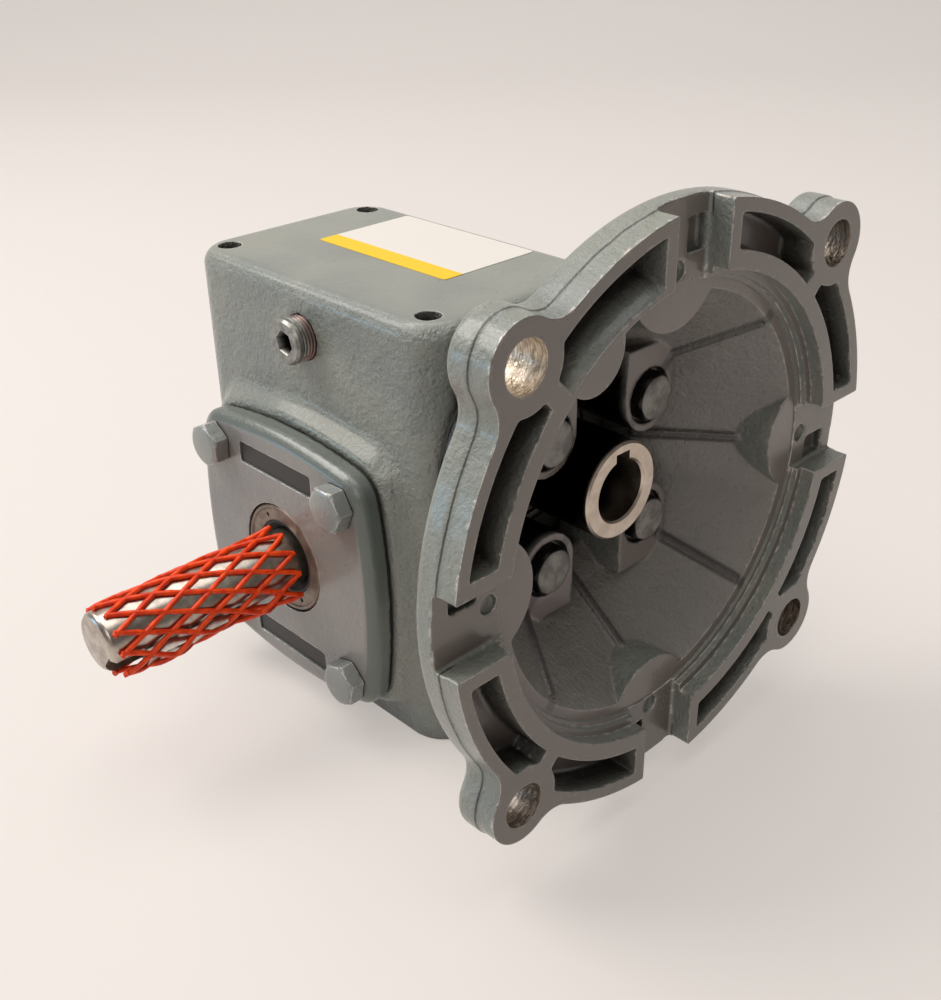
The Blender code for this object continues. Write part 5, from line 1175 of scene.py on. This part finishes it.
# Net sleeve: an extruded tube of orange-red polyethylene net, stretched over the shaft to save it
# from knocks. Its strands cross in long diamonds and end in cut points.
NET_START = -45.2
NET_END = -98.6
STRANDS = 10
DIAMOND_LENGTH = 13.0
STRAND_RADIUS = 0.78
KEY_ANGLE = -math.pi / 2 + KEYWAY_TURN
KEY_RISE = 2.3
net_plastic, net_shader = new_finish("extruded_polyethylene_net", "#dd3c12", 0.36)
net_place = add_node(net_plastic, "ShaderNodeTexCoord", output="Object")
net_streaks = add_node(net_plastic, "ShaderNodeTexNoise", {
    "Vector": net_place, "Scale": 1 / (2.5 * MM), "Detail": 3.0, "Roughness": 0.5,
})
net_streaks = add_node(net_plastic, "ShaderNodeMapRange", {
    "Value": net_streaks, "From Min": 0.3, "From Max": 0.7,
}, interpolation_type="SMOOTHSTEP")
net_tone = add_node(net_plastic, "ShaderNodeMix", {
    0: net_streaks, 6: colour("#c62d02"), 7: colour("#ec4a0c"),
}, data_type="RGBA")
net_plastic.node_tree.links.new(net_tone, net_shader.inputs["Base Color"])
net_shader.inputs["Specular IOR Level"].default_value = 0.35


def net_radius(angle, x):
    """The net lies on the shaft, is lifted by the key and bags behind it, and flares at the seal."""
    lean = (angle - KEY_ANGLE + math.pi) % math.tau - math.pi
    lift = (KEY_RISE + 0.5 * math.sin(x / 5.0)) * math.exp(-((lean / 0.44) ** 2))
    flare = 0.9 * max(0.0, (x - (NET_START - 8)) / 8) ** 2
    return SHAFT_RADIUS + STRAND_RADIUS * 0.8 + lift + flare + 0.12 * math.sin(3 * angle + x / 5)


net_curve = bpy.data.curves.new("net", "CURVE")
net_curve.dimensions = "3D"
net_curve.bevel_depth = STRAND_RADIUS * MM
net_curve.bevel_resolution = 2
net_curve.use_fill_caps = True
for family in (-1, 1):
    for number in range(STRANDS):
        trim = noise.noise(Vector((number * 3.7, family * 5.1, 0.3)))
        start = NET_START - 0.4 - 0.9 * abs(trim)
        end = NET_END + 1.2 * trim
        count = 44
        spline = net_curve.splines.new("POLY")
        spline.points.add(count - 1)
        for i in range(count):
            x = start + (end - start) * i / (count - 1)
            winding = family * (math.tau / STRANDS) * (x - start) / DIAMOND_LENGTH
            angle = math.tau * number / STRANDS + winding
            radius = net_radius(angle, x)
            y = radius * math.cos(angle)
            z = OUTPUT_HEIGHT + radius * math.sin(angle)
            spline.points[i].co = (x * MM, y * MM, z * MM, 1)
            spline.points[i].radius = 0.9 + 0.25 * noise.noise(Vector((x * 0.4, number, family)))
net = bpy.data.objects.new("net_strands", net_curve)
bpy.context.scene.collection.objects.link(net)
bpy.context.view_layer.update()
net_mesh = bpy.data.meshes.new_from_object(net.evaluated_get(bpy.context.evaluated_depsgraph_get()))
bpy.data.objects.remove(net)
net = bpy.data.objects.new("net_strands", net_mesh)
bpy.context.scene.collection.objects.link(net)
shade(net, net_plastic, 60)
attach(net, "output")
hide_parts("net_sleeve")


# Label: coated paper stuck on the faced top, white with a yellow band along the edge towards the
# output shaft. It has a dull sheen of its own.
LABEL_X = (-4.5, 28.0)
LABEL_Y = (-24.5, 26.5)
BAND_WIDTH = 6.4
label_paper, label_shader = new_finish("coated_label_paper", "#f4f1ec", 0.42)
paper_place = add_node(label_paper, "ShaderNodeTexCoord", output="Object")
across_label = add_node(label_paper, "ShaderNodeSeparateXYZ", {0: paper_place}, "X")
band_edge = LABEL_X[0] + BAND_WIDTH
is_white = add_node(label_paper, "ShaderNodeMapRange", {
    "Value": across_label, "From Min": (band_edge - 0.1) * MM, "From Max": (band_edge + 0.1) * MM,
}, interpolation_type="SMOOTHSTEP")
printed = add_node(label_paper, "ShaderNodeMix", {
    0: is_white, 6: colour("#dcb605"), 7: colour("#cfcac4"),
}, data_type="RGBA")
label_paper.node_tree.links.new(printed, label_shader.inputs["Base Color"])
bm = bmesh.new()
middle = ((LABEL_X[0] + LABEL_X[1]) / 2, (LABEL_Y[0] + LABEL_Y[1]) / 2)
outline = rounded_block((LABEL_X[1] - LABEL_X[0]) / 2, (LABEL_Y[1] - LABEL_Y[0]) / 2, 1.0, 5)
prism(bm, [(x + middle[0], y + middle[1]) for x, y in outline], HOUSING_HEIGHT - 0.05, HOUSING_HEIGHT + 0.12)
label = new_piece("bare_label", bm)
shade(label, label_paper, 30)
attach(label, "gearcase")


# Gaskets, bearings, wheel and keys: carried over from the CAD model, each in the finish of its kind.
gasket_paper, _ = new_finish("black_fibre_gasket", "#23231f", 0.85)
bearing_steel, _ = new_finish("ground_bearing_steel", "#bdbbb6", 0.18, 1.0)
cage_brass, _ = new_finish("pressed_brass_cage", "#b29561", 0.35, 1.0)
wheel_bronze, _ = new_finish("hobbed_gear_bronze", "#c08e50", 0.32, 1.0)
finishes = {
    "gasket": gasket_paper,
    "bearing_steel": bearing_steel,
    "cage_brass": cage_brass,
    "gear_bronze": wheel_bronze,
    "machined_steel": shaft_steel,
    "seal_case": seal_case,
}
for subpart in frame["record"]["subparts"]:
    node = nodes[subpart["node"]]
    finish = finishes.get(subpart["material_slot"])
    if finish:
        node.data.materials.clear()
        node.data.materials.append(finish)


# Studio: a pale floor swept up into a backdrop, two broad soft lamps from above, a weak one from the
# camera's side and a small blue one, which gives the steel and the enamel their cool bands.
paper, paper_shader = new_finish("pale_backdrop_paper", "#ded9d5", 0.8)
# The camera and glossy surfaces see the paper with its shadows lifted, as bounced light would lift them.
seen_paper = add_node(paper, "ShaderNodeBsdfDiffuse", {"Color": colour("#9b9794")})
glow = add_node(paper, "ShaderNodeEmission", {"Color": colour("#efe7e1"), "Strength": 0.5})
lifted = add_node(paper, "ShaderNodeAddShader", {0: seen_paper, 1: glow})
is_camera = add_node(paper, "ShaderNodeLightPath", output="Is Camera Ray")
is_glossy = add_node(paper, "ShaderNodeLightPath", output="Is Glossy Ray")
is_seen = add_node(paper, "ShaderNodeMath", {0: is_camera, 1: is_glossy}, operation="MAXIMUM")
paper_mix = add_node(paper, "ShaderNodeMixShader", {0: is_seen, 1: paper_shader.outputs[0], 2: lifted})
paper_output = paper.node_tree.nodes["Material Output"]
paper.node_tree.links.new(paper_mix, paper_output.inputs["Surface"])
bm = bmesh.new()
SWEEP = [(-1.6, 0.0), (1.0, 0.0), (1.25, 0.04), (1.45, 0.16), (1.58, 0.36), (1.62, 0.65), (1.62, 2.2)]
BACK = (0.69, 0.723)
rows = []
for distance, height in SWEEP:
    rows.append([
        bm.verts.new((side * BACK[1] + distance * BACK[0], distance * BACK[1] - side * BACK[0], height))
        for side in (-2.6, 2.6)
    ])
for lower, upper in zip(rows, rows[1:]):
    bm.faces.new((lower[0], lower[1], upper[1], upper[0]))
backdrop_mesh = bpy.data.meshes.new("backdrop")
bm.to_mesh(backdrop_mesh)
bm.free()
backdrop_mesh.shade_smooth()
backdrop_mesh.materials.append(paper)
backdrop = bpy.data.objects.new("backdrop", backdrop_mesh)
bpy.context.scene.collection.objects.link(backdrop)


def add_lamp(name, place, aim, size, power, tint):
    lamp_data = bpy.data.lights.new(name, "AREA")
    lamp_data.shape = "RECTANGLE"
    lamp_data.size, lamp_data.size_y = size
    lamp_data.energy = power
    lamp_data.color = colour(tint)[:3]
    lamp = bpy.data.objects.new(name, lamp_data)
    lamp.location = place
    lamp.rotation_mode = "QUATERNION"
    lamp.rotation_quaternion = (Vector(aim) - Vector(place)).to_track_quat("-Z", "Y")
    bpy.context.scene.collection.objects.link(lamp)


add_lamp("window", (-0.45, 0.60, 0.95), (0, 0, 0.06), (0.7, 0.7), 11.5, "#fffaf4")
add_lamp("ceiling", (0.05, 0.12, 1.3), (0, 0, 0.05), (1.3, 1.3), 13.0, "#fdfbf8")
add_lamp("room", (-0.85, -0.55, 0.75), (0, -0.05, 0.08), (0.6, 0.6), 2.4, "#fff6ee")
add_lamp("blue_screen", (-0.75, 0.62, 0.15), (0, 0, 0.08), (0.3, 0.22), 1.7, "#7fadcb")

world = bpy.data.worlds.new("studio")
world.use_nodes = True
world.node_tree.nodes["Background"].inputs["Color"].default_value = colour("#f1ecea")
world.node_tree.nodes["Background"].inputs["Strength"].default_value = 0.2
bpy.context.scene.world = world
bpy.context.scene.view_settings.view_transform = "Standard"
